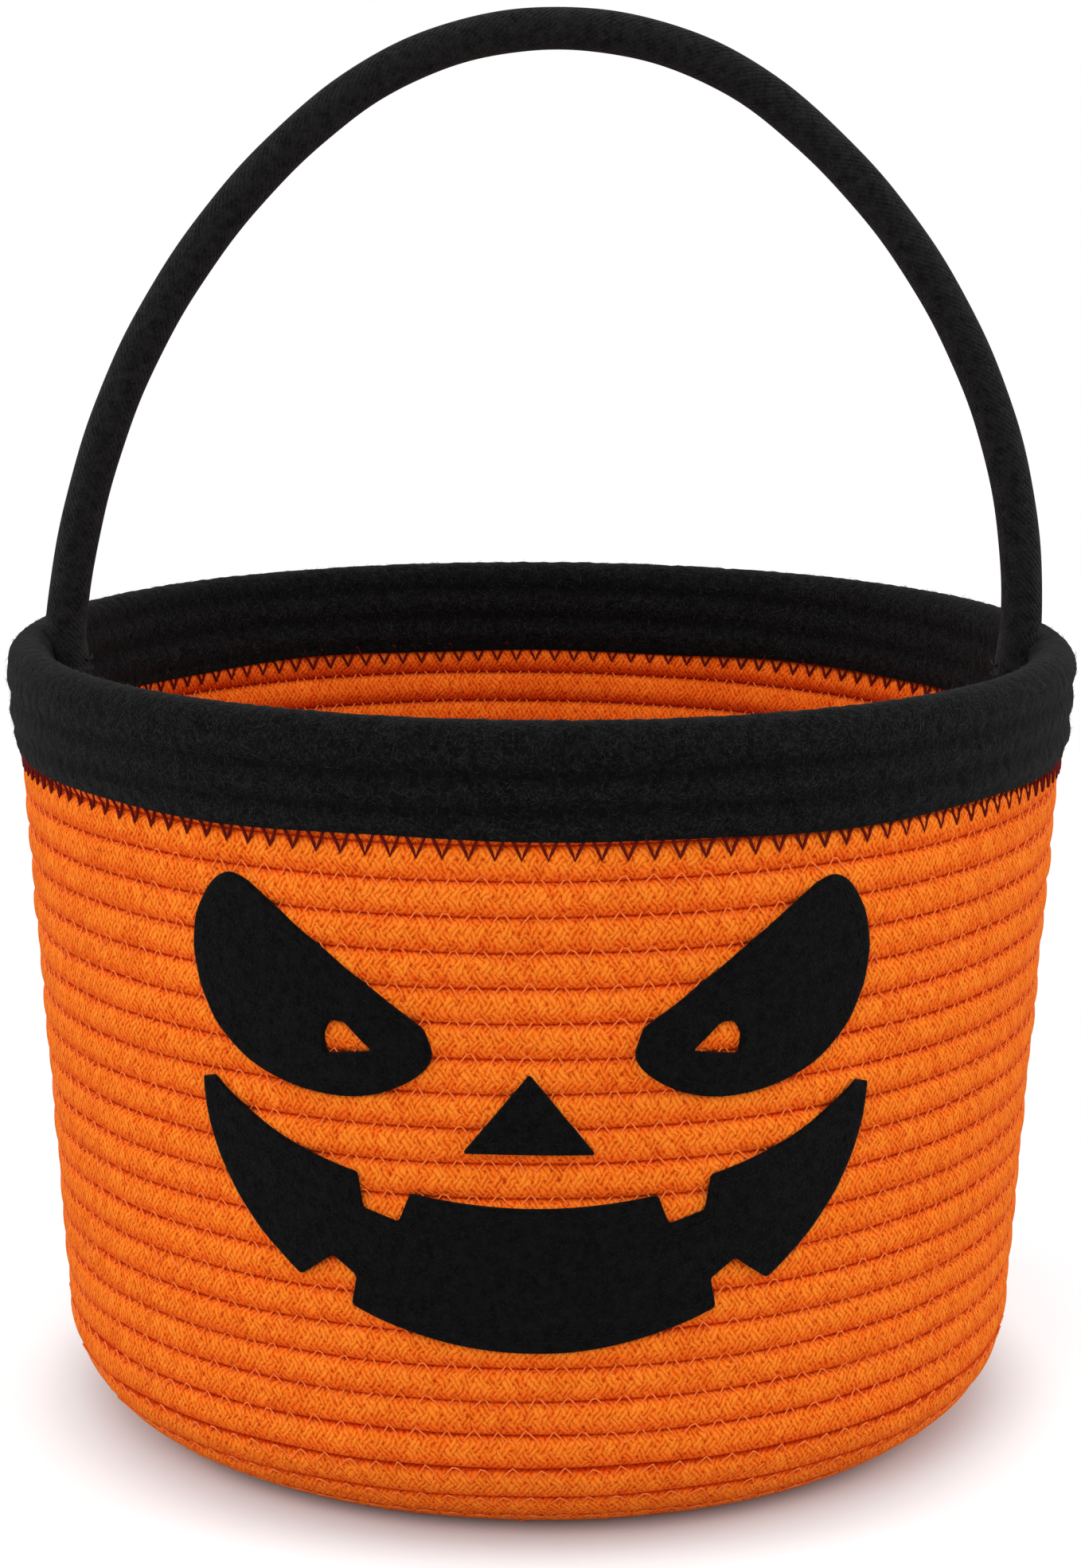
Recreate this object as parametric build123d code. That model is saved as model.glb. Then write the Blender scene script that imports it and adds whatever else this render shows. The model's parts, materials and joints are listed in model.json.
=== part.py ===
"""Pumpkin candy basket: braided rope coiled and sewn into a pail, with a cloth-bound rim,
a rope handle sewn inside the rim and a cut felt face.

Millimetres, +Z up. The origin is the middle of the base, on the floor. The face looks along -Y.
"""
from build123d import *
import os
from math import cos, pi, radians, sin, sqrt

# Rope and the pail that it is coiled into
ROPE_D = 7.15           # braided rope, one thickness everywhere
ROW_GAP = 0.6           # clear space between neighbouring rows
RIM_D = 250.0           # over the rim's cloth
PAIL_H = 184.6          # floor to the top of the rim's cloth
WALL_LEAN = 3.72        # degrees that the wall leans outwards
CORNER_R = 27.4         # outside of the bend from base to wall
FLAT_CUT = 0.5          # flat that the base stands on
JOIN_TURN = 0.75        # where the base's coil goes over into the wall's, turns past the flat

# Cloth folded over the rim
CLOTH = 0.8             # thickness of the cloth
CLOTH_EASE = 0.3        # space between cloth and rope
BAND_OUTSIDE = 24.0     # depth below the rim's top, outside
BAND_INSIDE = 22.6      # and inside
BAND_RIDGE = 0.4        # swell of the cloth over each row, inside
BAND_SWELL = 0.25       # and outside

# Handle
HANDLE_D = 9.7          # over its cloth sleeve
HANDLE_RISE = 145.25    # crown, over the sleeve, above the rim's top
HANDLE_INSET = 11.8     # from the rim's outside to a side's middle where the handle is widest
SPAN_DROP = 4.4         # how far below the rim's top that widest place is
CROWN_R = 83.9          # bend of the handle's middle over the crown
ROOT_LIFT = 2.4         # where it bends at its roots, above the rim's top
CORE_EASE = 0.1         # space between the core and its sleeve
ROOT_EASE = 0.3         # running space under the bending root
TAIL_WIDE = 13.0        # flattened tail sewn inside the rim, along the rim
TAIL_THICK = 7.4        # and across it
TAIL_DEPTH = 22.0       # its foot, below the rim's top
TAIL_EASE = 0.2         # space between tail and cloth

# Felt face
FELT = 1.2              # thickness of the felt
FELT_EASE = 0.2         # space between felt and the rows' crests
EYE_DROP = 56.7         # from the band's lower edge to the lowest point of an eye
EYE_AROUND = 22.6       # degrees round the wall from the face's middle to an eye's middle
EYE_WIDE = 55.4
EYE_TALL = 46.2
NOSE_DROP = 10.7        # from there to the lower edge of the nose
NOSE_WIDE = 28.0
NOSE_TALL = 17.8
MOUTH_DROP = 45.6       # from there to the lowest point of the mouth
MOUTH_WIDE = 142.8      # seen from the front
MOUTH_TALL = 55.8
CORNER_CUT = 0.9        # rounding of the cut corners

# Worked out from the sizes above
rope_r = ROPE_D / 2
pitch = ROPE_D + ROW_GAP
band_r = rope_r + CLOTH_EASE + CLOTH
lean = radians(90 - WALL_LEAN)
bend_r = CORNER_R - rope_r
floor_z = rope_r - FLAT_CUT
top_r = RIM_D / 2 - band_r
top_z = PAIL_H - band_r
wall_foot_z = floor_z + bend_r * (1 - cos(lean))
wall_length = (top_z - wall_foot_z) / sin(lean)
wall_foot_r = top_r - wall_length * cos(lean)
flat_r = wall_foot_r - bend_r * sin(lean)
bend_length = bend_r * lean
base_turns = (flat_r - pitch / 4) / pitch
wall_turns = (bend_length + wall_length) / pitch
root_z = PAIL_H + ROOT_LIFT
sleeve_r = HANDLE_D / 2
eye_z = PAIL_H - BAND_OUTSIDE - EYE_DROP
nose_z = eye_z - NOSE_DROP
mouth_z = nose_z - MOUTH_DROP


def rope_profile(run):
    """Radius, height and direction of the rope's middle, a run past the edge of the flat base."""
    if run <= 0:
        return flat_r + run, floor_z, 0.0
    if run <= bend_length:
        angle = run / bend_r
        return flat_r + bend_r * sin(angle), floor_z + bend_r * (1 - cos(angle)), angle
    climb = run - bend_length
    return wall_foot_r + climb * cos(lean), wall_foot_z + climb * sin(lean), lean


def on_rope(turn):
    """Place and heading of the rope's middle: turn 0 is where the base starts to bend up.

    The heading climbs but points neither in nor out, so that each half turn of the flat base is
    one half circle and the coil's first half turn, half a pitch in radius, closes its middle.
    """
    radius, height, slope = rope_profile(pitch * turn)
    around = 2 * pi * turn
    climb = pitch * sin(slope) / (2 * pi)
    place = Vector(radius * cos(around), radius * sin(around), height)
    heading = Vector(-radius * sin(around), radius * cos(around), climb)
    return place, heading.normalized()


def biarc(first, last):
    """Two arcs that leave and arrive along the rope's heading, between two turns."""
    start, away = on_rope(first)
    end, arrive = on_rope(last)
    chord = end - start
    a = 2 * (1 - away.dot(arrive))
    b = 2 * chord.dot(away + arrive)
    reach = (-b + sqrt(b * b + 4 * a * chord.dot(chord))) / (2 * a)
    joint = (start + end + (away - arrive) * reach) * 0.5
    across = ((end - arrive * reach) - (start + away * reach)).normalized()
    return [Edge.make_tangent_arc(start, away, joint), Edge.make_tangent_arc(joint, across, end)]


def rope_line(first, last):
    """The rope's middle from one turn to another, in biarcs of about half a turn."""
    count = max(1, round(2 * (last - first)))
    turns = [first + (last - first) * i / count for i in range(count + 1)]
    return [edge for a, b in zip(turns, turns[1:]) for edge in biarc(a, b)]


def coil(line, turn, rounded_start=False):
    """Rope swept along a line that starts at a turn, cut flat where it would pass the floor."""
    place, heading = on_rope(turn)
    rope = sweep(Plane(origin=place, z_dir=heading) * Circle(rope_r), path=Wire(line))
    if rounded_start:
        rope += Pos(place) * Sphere(rope_r)
    return split(rope, bisect_by=Plane.XY, keep=Keep.TOP)


def least_gap(line, steps=60, reach=10):
    """Clear space between each row and the next, from points along a line of quarter turns."""
    points = [edge @ (i / steps) for edge in line for i in range(steps)]
    turn = 4 * steps
    nearest = []
    for i in range(len(points) - turn - reach):
        beside = points[i + turn - reach:i + turn + reach]
        j = min(range(1, len(beside) - 1), key=lambda k: (beside[k] - points[i]).length)
        ahead = (beside[j + 1] - beside[j - 1]).normalized()
        offset = points[i] - beside[j]
        nearest.append((offset - ahead * offset.dot(ahead)).length)
    return min(nearest) - ROPE_D


def wall_point(below_top, offset):
    """Place in the wall's section, a length down from the rim's middle and out from the rope's."""
    radius = top_r - below_top * cos(lean) + offset * sin(lean)
    return radius, top_z - below_top * sin(lean) - offset * cos(lean)


def down_to(height):
    """Length down the wall from the rim's middle to a height."""
    return (top_z - height) / sin(lean)


def turned(face):
    """A section, drawn as radius and height, turned about the pail's axis."""
    return revolve(Plane.XZ * face, axis=Axis.Z)


def over_rim(offset):
    """Half circle over the rim at an offset from the rope's middle, from outside to inside."""
    return ThreePointArc(wall_point(0, offset), wall_point(-offset, 0), wall_point(0, -offset))


def swelling(depth, offset, swell):
    """Cloth's surface from the rim's middle down to a depth, with one arc over each row."""
    rows = max(1, round(depth / pitch))
    arcs = []
    for row in range(rows):
        ends = [wall_point(depth * (row + k) / rows, offset) for k in (0, 1)]
        crest = wall_point(depth * (row + 0.5) / rows, offset + swell)
        arcs.append(ThreePointArc(ends[0], crest, ends[1]))
    return arcs


def make_rim_band():
    """Cloth folded over the top rows, swelling over each row."""
    outside = down_to(PAIL_H - BAND_OUTSIDE)
    inside = down_to(PAIL_H - BAND_INSIDE)
    under = band_r - CLOTH
    outline = swelling(outside, band_r, BAND_SWELL) + [over_rim(band_r)]
    outline += swelling(inside, -band_r, -BAND_RIDGE)
    outline += [
        Line(wall_point(inside, -band_r), wall_point(inside, -under)),
        Line(wall_point(inside, -under), wall_point(0, -under)),
        over_rim(under),
        Line(wall_point(0, under), wall_point(outside, under)),
        Line(wall_point(outside, under), wall_point(outside, band_r)),
    ]
    return turned(make_face(outline))


def handle_line():
    """Three-centred arch between the two roots: a side arc, the crown arc and a side arc."""
    half = RIM_D / 2 - HANDLE_INSET
    spring_z = PAIL_H - SPAN_DROP
    crown_z = PAIL_H + HANDLE_RISE - sleeve_r
    rise = crown_z - spring_z
    side_r = (half ** 2 + rise ** 2 - 2 * rise * CROWN_R) / (2 * (half - CROWN_R))
    side = Vector(half - side_r, 0, spring_z)
    crown = Vector(0, 0, crown_z - CROWN_R)
    lift = root_z - spring_z
    root = side + Vector(sqrt(side_r ** 2 - lift ** 2), 0, lift)
    change = crown + (crown - side).normalized() * CROWN_R
    upward = Vector(-lift, 0, root.X - side.X).normalized()
    right = Edge.make_tangent_arc(root, upward, change)
    over = ThreePointArc(change, (0, 0, crown_z), (-change.X, 0, change.Z))
    left = mirror(right, Plane.YZ)
    return Wire([right, over.edge(), left.edge()]), root, upward


def make_handle():
    """Sleeve with rounded ends, and the rope core that fills it."""
    line, root, upward = handle_line()
    start = Plane(origin=root, z_dir=upward)
    core_r = sleeve_r - CLOTH - CORE_EASE
    sleeve = sweep(start * Circle(sleeve_r), path=line)
    for side in (-1, 1):
        sleeve += Pos(side * root.X, 0, root.Z) * Sphere(sleeve_r)
    sleeve -= sweep(start * Circle(core_r + CORE_EASE), path=line)
    return sleeve, sweep(start * Circle(core_r), path=line)


def make_tail(side):
    """Flattened end of the handle, against the cloth inside the rim and under the root."""
    foot_z = PAIL_H - TAIL_DEPTH
    head_z = root_z - sleeve_r - ROOT_EASE
    middle = down_to((foot_z + head_z) / 2)
    clear = band_r + BAND_RIDGE + TAIL_EASE
    radius, _ = wall_point(middle, -clear - TAIL_THICK / 2)
    section = SlotOverall(TAIL_WIDE, TAIL_THICK, rotation=90)
    post = extrude(Pos(radius, 0, foot_z) * section, head_z - foot_z)
    post = fillet(post.edges().group_by(Axis.Z)[0], TAIL_THICK / 4)
    reach = down_to(foot_z)
    edge = [wall_point(-band_r, -clear), wall_point(reach + band_r, -clear)]
    within = turned(make_face(Polyline(edge[0], edge[1], (0, edge[1][1]), (0, edge[0][1]), close=True)))
    return mirror(post & within, Plane.YZ) if side < 0 else post & within


def felt_shell():
    """Felt laid on the crests of the rows, all round the straight part of the wall."""
    low = down_to(wall_foot_z)
    near = rope_r + FELT_EASE
    far = near + FELT
    section = [wall_point(low, near), wall_point(low, far), wall_point(0, far), wall_point(0, near)]
    return turned(make_face(Polyline(*section, close=True)))


def cut_felt(outline, around=0):
    """Felt cut to an outline that faces -Y, then turned round the wall."""
    prism = extrude(Plane.XZ * outline, RIM_D)
    return Rot(0, 0, around) * (felt_shell() & prism)


def sized(wide, tall, *shares):
    """Points given as shares of a width and a height."""
    return [(x * wide, y * tall) for x, y in shares]


def eye_outline():
    """Slanted half-moon eye: straight brow, round below, with a small three-cornered pupil."""
    inner, brow = sized(EYE_WIDE, EYE_TALL, (-0.455, 0.348), (0.244, 0.968))
    outer = sized(EYE_WIDE, EYE_TALL, (0.338, 1.0), (0.448, 0.896), (0.516, 0.671), (0.390, 0.229))
    under = sized(EYE_WIDE, EYE_TALL, (-0.036, 0.004), (-0.370, 0.074), (-0.484, 0.219))
    hole = sized(EYE_WIDE, EYE_TALL, (-0.251, 0.229), (-0.067, 0.199), (-0.060, 0.290), (-0.130, 0.368))
    eye = make_face([Line(inner, brow), Spline(brow, *outer, *under, inner)])
    pupil = make_face(Polyline(*hole, close=True))
    return eye - fillet(pupil.vertices(), CORNER_CUT)


def mouth_outline():
    """Wide grin with two square teeth above and two below, the same on both sides."""
    half = MOUTH_WIDE / 2
    lower = sized(half, MOUTH_TALL, (0, 0), (0.287, 0.039), (0.545, 0.156))
    lower_tooth = sized(half, MOUTH_TALL, (0.545, 0.156), (0.529, 0.276), (0.602, 0.348), (0.700, 0.249))
    cheek = sized(half, MOUTH_TALL, (0.700, 0.249), (0.924, 0.599), (1.0, 0.984))
    end = sized(half, MOUTH_TALL, (1.0, 0.984), (0.961, 1.0))
    lip = sized(half, MOUTH_TALL, (0.961, 1.0), (0.756, 0.806), (0.524, 0.695))
    upper_tooth = sized(half, MOUTH_TALL, (0.524, 0.695), (0.507, 0.554), (0.401, 0.509), (0.367, 0.627))
    upper = sized(half, MOUTH_TALL, (0.367, 0.627), (0.182, 0.595), (0, 0.584))
    arcs = [ThreePointArc(*points) for points in (lower, cheek, lip, upper)]
    lines = [Polyline(*points) for points in (lower_tooth, end, upper_tooth)]
    edges = [edge for piece in arcs + lines for edge in piece.edges()]
    edges += [mirror(edge, Plane.YZ).edge() for edge in edges]
    face = make_face(edges)
    corners = [v for v in face.vertices() if abs(v.X) > CORNER_CUT]
    return fillet(corners, CORNER_CUT)


def nose_outline():
    """Upright triangle."""
    half = NOSE_WIDE / 2
    face = make_face(Polyline((-half, 0), (half, 0), (0, NOSE_TALL), close=True))
    return fillet(face.vertices(), CORNER_CUT)


base_line = rope_line(-base_turns, JOIN_TURN)
wall_line = rope_line(JOIN_TURN, wall_turns)
print(f"base turns {base_turns + JOIN_TURN:.2f}, wall turns {wall_turns - JOIN_TURN:.2f}")
print(f"least gap between rows {least_gap(base_line + wall_line):.3f} mm")

sleeve, core = make_handle()
eye = eye_outline()
nodes = {
    "base_coil": coil(base_line, -base_turns, rounded_start=True),
    "wall_coil": coil(wall_line, JOIN_TURN),
    "rim_band": make_rim_band(),
    "handle_sleeve": sleeve,
    "handle_core": core,
    "handle_tail_left": make_tail(-1),
    "handle_tail_right": make_tail(1),
    "left_eye": cut_felt(Pos(0, eye_z) * mirror(eye, Plane.YZ), -EYE_AROUND),
    "right_eye": cut_felt(Pos(0, eye_z) * eye, EYE_AROUND),
    "nose": cut_felt(Pos(0, nose_z) * nose_outline()),
    "mouth": cut_felt(Pos(0, mouth_z) * mouth_outline()),
}
os.makedirs("parts", exist_ok=True)
for name, solid in nodes.items():
    export_step(solid, f"parts/{name}.step")
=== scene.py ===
"""Candy pail coiled from braided rope, with a cloth-bound rim, a folding rope handle and a felt face.

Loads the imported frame, makes the visible pieces as surfaces worked out with numpy, and sets the stage.
Metres, +Z up. The face looks along -Y, and the origin is the middle of the base, on the floor.
"""

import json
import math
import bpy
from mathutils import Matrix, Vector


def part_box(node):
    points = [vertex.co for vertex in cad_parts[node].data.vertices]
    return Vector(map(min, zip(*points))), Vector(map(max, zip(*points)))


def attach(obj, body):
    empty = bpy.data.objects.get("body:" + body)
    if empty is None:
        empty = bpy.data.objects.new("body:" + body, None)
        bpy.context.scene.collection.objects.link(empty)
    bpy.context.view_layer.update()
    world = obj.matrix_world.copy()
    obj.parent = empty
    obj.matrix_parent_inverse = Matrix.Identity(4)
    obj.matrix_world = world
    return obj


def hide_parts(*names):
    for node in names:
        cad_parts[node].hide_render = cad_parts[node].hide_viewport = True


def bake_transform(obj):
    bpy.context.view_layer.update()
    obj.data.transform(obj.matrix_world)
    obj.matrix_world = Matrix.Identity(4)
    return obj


bl_info = {
    "name": "Coiled Rope Candy Pail",
    "version": (1, 0, 0),
    "blender": (4, 5, 0),
    "location": "3D View > Sidebar > Candy Pail",
    "description": "Makes a coiled rope pail with a bound rim, a folding handle and a felt face",
    "category": "Add Mesh",
}

import bpy
import numpy as np
from bpy.props import FloatProperty, FloatVectorProperty, IntProperty, PointerProperty
from mathutils import Matrix, Vector

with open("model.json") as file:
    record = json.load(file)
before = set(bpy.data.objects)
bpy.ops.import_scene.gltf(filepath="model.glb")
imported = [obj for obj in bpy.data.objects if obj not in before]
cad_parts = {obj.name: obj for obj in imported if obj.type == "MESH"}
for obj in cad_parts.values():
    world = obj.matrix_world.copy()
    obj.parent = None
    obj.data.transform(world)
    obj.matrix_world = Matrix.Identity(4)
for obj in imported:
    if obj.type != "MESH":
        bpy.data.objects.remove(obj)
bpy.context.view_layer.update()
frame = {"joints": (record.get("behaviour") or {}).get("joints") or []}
MM = 0.001
UP = np.array([0.0, 0.0, 1.0])
BACK = np.array([0.0, 1.0, 0.0])
RIM_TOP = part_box("rim_band")[1].z
EYE_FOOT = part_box("right_eye")[0].z
NOSE_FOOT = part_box("nose")[0].z
MOUTH_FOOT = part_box("mouth")[0].z
CROWN_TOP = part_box("handle_sleeve")[1].z
FOLD_Z = frame["joints"][0]["pos_m"][2]
MEASURED = 160000  # places at which the rope's length is measured


def length(label, text, default):
    """A length setting, given in millimetres."""
    return FloatProperty(name=label, description=text, default=default * MM, unit="LENGTH", precision=5)


def colour(label, text, default):
    """A colour setting, as linear red, green and blue."""
    return FloatVectorProperty(name=label, description=text, default=default, subtype="COLOR", size=3,
                               min=0.0, max=1.0)


def share(label, text, default):
    """A plain number setting."""
    return FloatProperty(name=label, description=text, default=default)


def whole(label, text, default, least=1):
    """A whole number setting."""
    return IntProperty(name=label, description=text, default=default, min=least)


def slant(label, text, degrees):
    """An angle setting, given in degrees."""
    return FloatProperty(name=label, description=text, default=math.radians(degrees), subtype="ANGLE")


class PailSizes(bpy.types.PropertyGroup):
    """Sizes of the coiled pail, the same as in the frame."""
    rope_d: length("Rope", "Thickness of the braided rope", 7.15)
    pitch: length("Row pitch", "From one row's middle to the next", 7.75)
    rim_d: length("Rim", "Width over the rim's cloth", 250.0)
    pail_h: length("Height", "Floor to the top of the rim's cloth", RIM_TOP / MM)
    wall_lean: slant("Lean", "How far the wall leans outwards", 3.72)
    corner_r: length("Corner", "Outside of the bend from base to wall", 27.4)
    flat_cut: length("Flat", "Depth of the flat that the base stands on", 0.5)
    cloth: length("Cloth", "Thickness of the rim's cloth", 0.8)
    cloth_ease: length("Cloth ease", "Space between cloth and rope", 0.3)
    band_outside: length("Band outside", "Depth of the cloth outside, below the rim's top", 24.0)
    band_inside: length("Band inside", "Depth of the cloth inside, below the rim's top", 22.6)
    join_turn: share("Join", "Where the base's rope goes over into the wall's, turns past the flat", 0.75)


class RopeLook(bpy.types.PropertyGroup):
    """Braid, sewing and colours of the rope."""
    step: length("Step", "Spacing of the rope's rings", 1.0)
    start: share("Start", "How far round the upright the coil is turned, in whole turns", 0.29)
    sides: whole("Sides", "Points round the rope", 22, least=8)
    wall_pieces: whole("Wall pieces", "Pieces that the wall's rope is made in", 6)
    squareness: share("Squareness", "Power of the rope's section outside, 2 is an ellipse", 3.0)
    press: length("Press", "How far each row is pressed into the next", 0.25)
    roundness: share("Roundness", "Power of the rope's section inside", 2.3)
    fullness: length("Fullness", "How far the rope stands out past its own radius, up the wall", 0.15)
    braid: length("Braid", "Length along the rope of half a braid repeat", 1.36)
    strands: whole("Strands", "Strands round the rope in each direction, even", 12)
    hole_r: length("Hole", "Reach of the dark hollow where the thread enters", 0.6)
    stitch: length("Stitch", "Length of one zigzag repeat between rows", 5.8)
    stitch_up: length("Stitch up", "How far a stitch reaches onto the row above", 1.9)
    stitch_down: length("Stitch down", "How far a stitch reaches onto the row below", 2.65)
    thread_d: length("Thread", "Thickness of the sewing thread", 0.42)
    # crest, middle and pit: painted shade, light on the strands' tops and dark in the pits between them
    crest: colour("Crest", "Rope where a strand lies on top", (1.0, 0.266, 0.022))
    middle: colour("Middle", "Rope on the flanks of its strands", (0.88, 0.134, 0.007))
    pit_shade: colour("Pit", "Rope between its strands", (0.56, 0.045, 0.002))
    # hole: painted shade in the needle holes where the thread enters
    hole: colour("Hole", "Rope where the thread enters it", (0.40, 0.030, 0.001))
    thread: colour("Thread", "Sewing thread between the rows", (1.0, 0.235, 0.048))


class TrimLook(bpy.types.PropertyGroup):
    """Cloth over the rim, its seams, and its loose fibres."""
    swell: length("Swell", "How far the cloth swells over each row outside", 0.75)
    ridge: length("Ridge", "How far the cloth swells over each row inside", 0.95)
    steps_wide: whole("Steps wide", "Points across the cloth's width", 52, least=8)
    steps_round: whole("Steps round", "Points round the rim for each V stitch", 6)
    repeats: whole("Repeats", "V stitches round the rim", 140)
    seam_up: length("Seam up", "How far the seam reaches onto the cloth", 2.3)
    seam_down: length("Seam down", "How far the seam reaches below the cloth's edge", 3.95)
    inside_down: length("Inside seam down", "How far the seam inside reaches below the cloth's edge", 2.9)
    seam_d: length("Seam thread", "Thickness of the rim's thread", 0.72)
    fibres: whole("Fibres", "Loose fibres on the cloth", 9000)
    fibre_d: length("Fibre", "Thickness of a loose fibre", 0.08)
    fibre_long: length("Fibre length", "Length of a loose fibre", 1.0)
    nap: length("Nap", "How uneven the brushed surface is", 0.09)
    cloth: colour("Cloth", "Brushed black cloth", (0.0017, 0.0018, 0.0021))
    fuzz: colour("Fuzz", "Loose fibres that catch the light", (0.07, 0.07, 0.075))
    seam: colour("Seam", "Thread of the rim's seam", (0.12, 0.004, 0.003))


class HandleSizes(bpy.types.PropertyGroup):
    """Handle, its flattened tails and its core."""
    sides: whole("Sides", "Points round the sleeve", 48, least=8)
    step: length("Step", "Spacing of the sleeve's rings", 1.1)
    core_sides: whole("Core sides", "Points round the core", 24, least=8)
    core_step: length("Core step", "Spacing of the core's rings", 1.5)
    sleeve_d: length("Sleeve", "Thickness over the sleeve", 9.7)
    inset: length("Inset", "From the rim's outside to the middle of a side", 11.8)
    span_drop: length("Span drop", "How far below the rim's top the handle is widest", 4.4)
    crown_r: length("Crown", "Bend of the handle's middle over the crown", 83.9)
    tail_wide: length("Tail width", "Flattened tail along the rim", 13.0)
    tail_thick: length("Tail thickness", "Flattened tail across the rim", 7.4)
    tail_depth: length("Tail depth", "Foot of the tail, below the rim's top", 22.0)
    tail_in: length("Tail inset", "From the rim's outside to the middle of a tail", 14.15)
    core_d: length("Core", "Thickness of the rope inside the sleeve", 7.0)
    core_lift: length("Core lift", "From the fold's axis up to the core's ends", 9.0)
    core_twist: length("Core twist", "Length of core for each radian that its strands twist", 5.5)
    foot_round: length("Foot rounding", "Length over which the foot of a tail is rounded off", 3.0)
    bend: length("Bend", "Height over which the sleeve bends when it folds", 12.0)
    slope: length("Slope", "Height over which a tail goes over into the round handle", 14.0)
    lean: length("Lean", "How far the crown leans to the right", 3.7)
    ribs: whole("Ribs", "Ribs of the twill round the sleeve", 24)
    rib_turn: share("Rib turn", "How fast the ribs turn, radians for each millimetre along the sleeve", 4.2)
    cloth: colour("Twill", "Twill of the sleeve", (0.0062, 0.0062, 0.0068))
    core: colour("Core colour", "Plain cotton core", (0.70, 0.66, 0.56))


class FaceLook(bpy.types.PropertyGroup):
    """Felt face and its sewing."""
    felt: length("Felt", "Thickness of the felt", 1.2)
    lift: length("Lift", "From the rope's middle to the back of the felt", 3.6)
    drape: length("Drape", "How far the felt sinks between the rows", 0.16)
    eye_around: slant("Eye angle", "Round the wall from the face's middle to an eye", 22.6)
    eye_wide: length("Eye width", "Width of an eye", 55.4)
    eye_tall: length("Eye height", "Height of an eye", 46.2)
    nose_wide: length("Nose width", "Width of the nose", 28.0)
    nose_tall: length("Nose height", "Height of the nose", 17.8)
    mouth_wide: length("Mouth width", "Width of the mouth, seen from the front", 142.8)
    mouth_tall: length("Mouth height", "Height of the mouth", 55.8)
    corner: length("Corner", "Rounding of the cut corners", 0.8)
    stitch_in: length("Stitch inset", "From the felt's edge to its stitches", 2.6)
    stitch: length("Stitch", "Spacing of the felt's stitches", 3.2)
    stitch_share: share("Stitch share", "How much of its spacing a stitch takes up", 0.58)
    cloth: colour("Felt colour", "Pressed black felt", (0.0018, 0.0019, 0.0024))


class StageLook(bpy.types.PropertyGroup):
    """Floor, light and camera."""
    floor: colour("Floor", "Pale floor", (0.79, 0.865, 0.89))
    bounce: colour("Bounce", "Light that the floor throws back at the pail", (0.62, 0.52, 0.49))
    glow: share("Glow", "Light that the camera sees added to the floor a little off the pail", 0.34)
    glow_from: length("Glow from", "Distance from the pail's middle at which that light begins", 100.0)
    glow_full: length("Glow full", "Distance at which that light is full", 132.0)
    white_from: length("White from", "Distance at which the floor starts to pale", 130.0)
    white_full: length("White full", "Distance at which the floor is plain white", 260.0)
    sky: share("Sky", "Strength of the soft light from all round", 0.62)
    lens: FloatProperty(name="Lens", description="Focal length on a 36 mm sensor", default=82.19,
                        subtype="DISTANCE_CAMERA")
    camera: FloatVectorProperty(name="Camera", description="Place of the camera", unit="LENGTH",
                                default=(0.0073, -0.8395, 0.3151))
    yaw: slant("Yaw", "Turn of the camera about the upright", 0.5)
    dip: slant("Dip", "How far the camera looks down", 11.25)
    roll: slant("Roll", "Turn of the camera about its view", 0.28)


class PailSettings(bpy.types.PropertyGroup):
    """All the settings of the pail."""
    sizes: PointerProperty(type=PailSizes)
    rope: PointerProperty(type=RopeLook)
    trim: PointerProperty(type=TrimLook)
    handle: PointerProperty(type=HandleSizes)
    face: PointerProperty(type=FaceLook)
    stage: PointerProperty(type=StageLook)


def smooth(x):
    """Smooth step from 0 to 1: three times the square less twice the cube."""
    x = np.clip(x, 0.0, 1.0)
    return x * x * (3 - 2 * x)


def unit(v):
    """Vectors scaled to length one."""
    return v / np.linalg.norm(v, axis=-1, keepdims=True)


def angles(count):
    """Angles spaced evenly round a whole turn."""
    return 2 * np.pi * np.arange(count) / count


def run_along(points):
    """Length along a line of points up to each of them."""
    return np.concatenate([[0], np.cumsum(np.linalg.norm(np.diff(points, axis=0), axis=1))])


def times(factor, shade):
    """A colour made lighter or darker."""
    return tuple(factor * c for c in shade)


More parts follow.
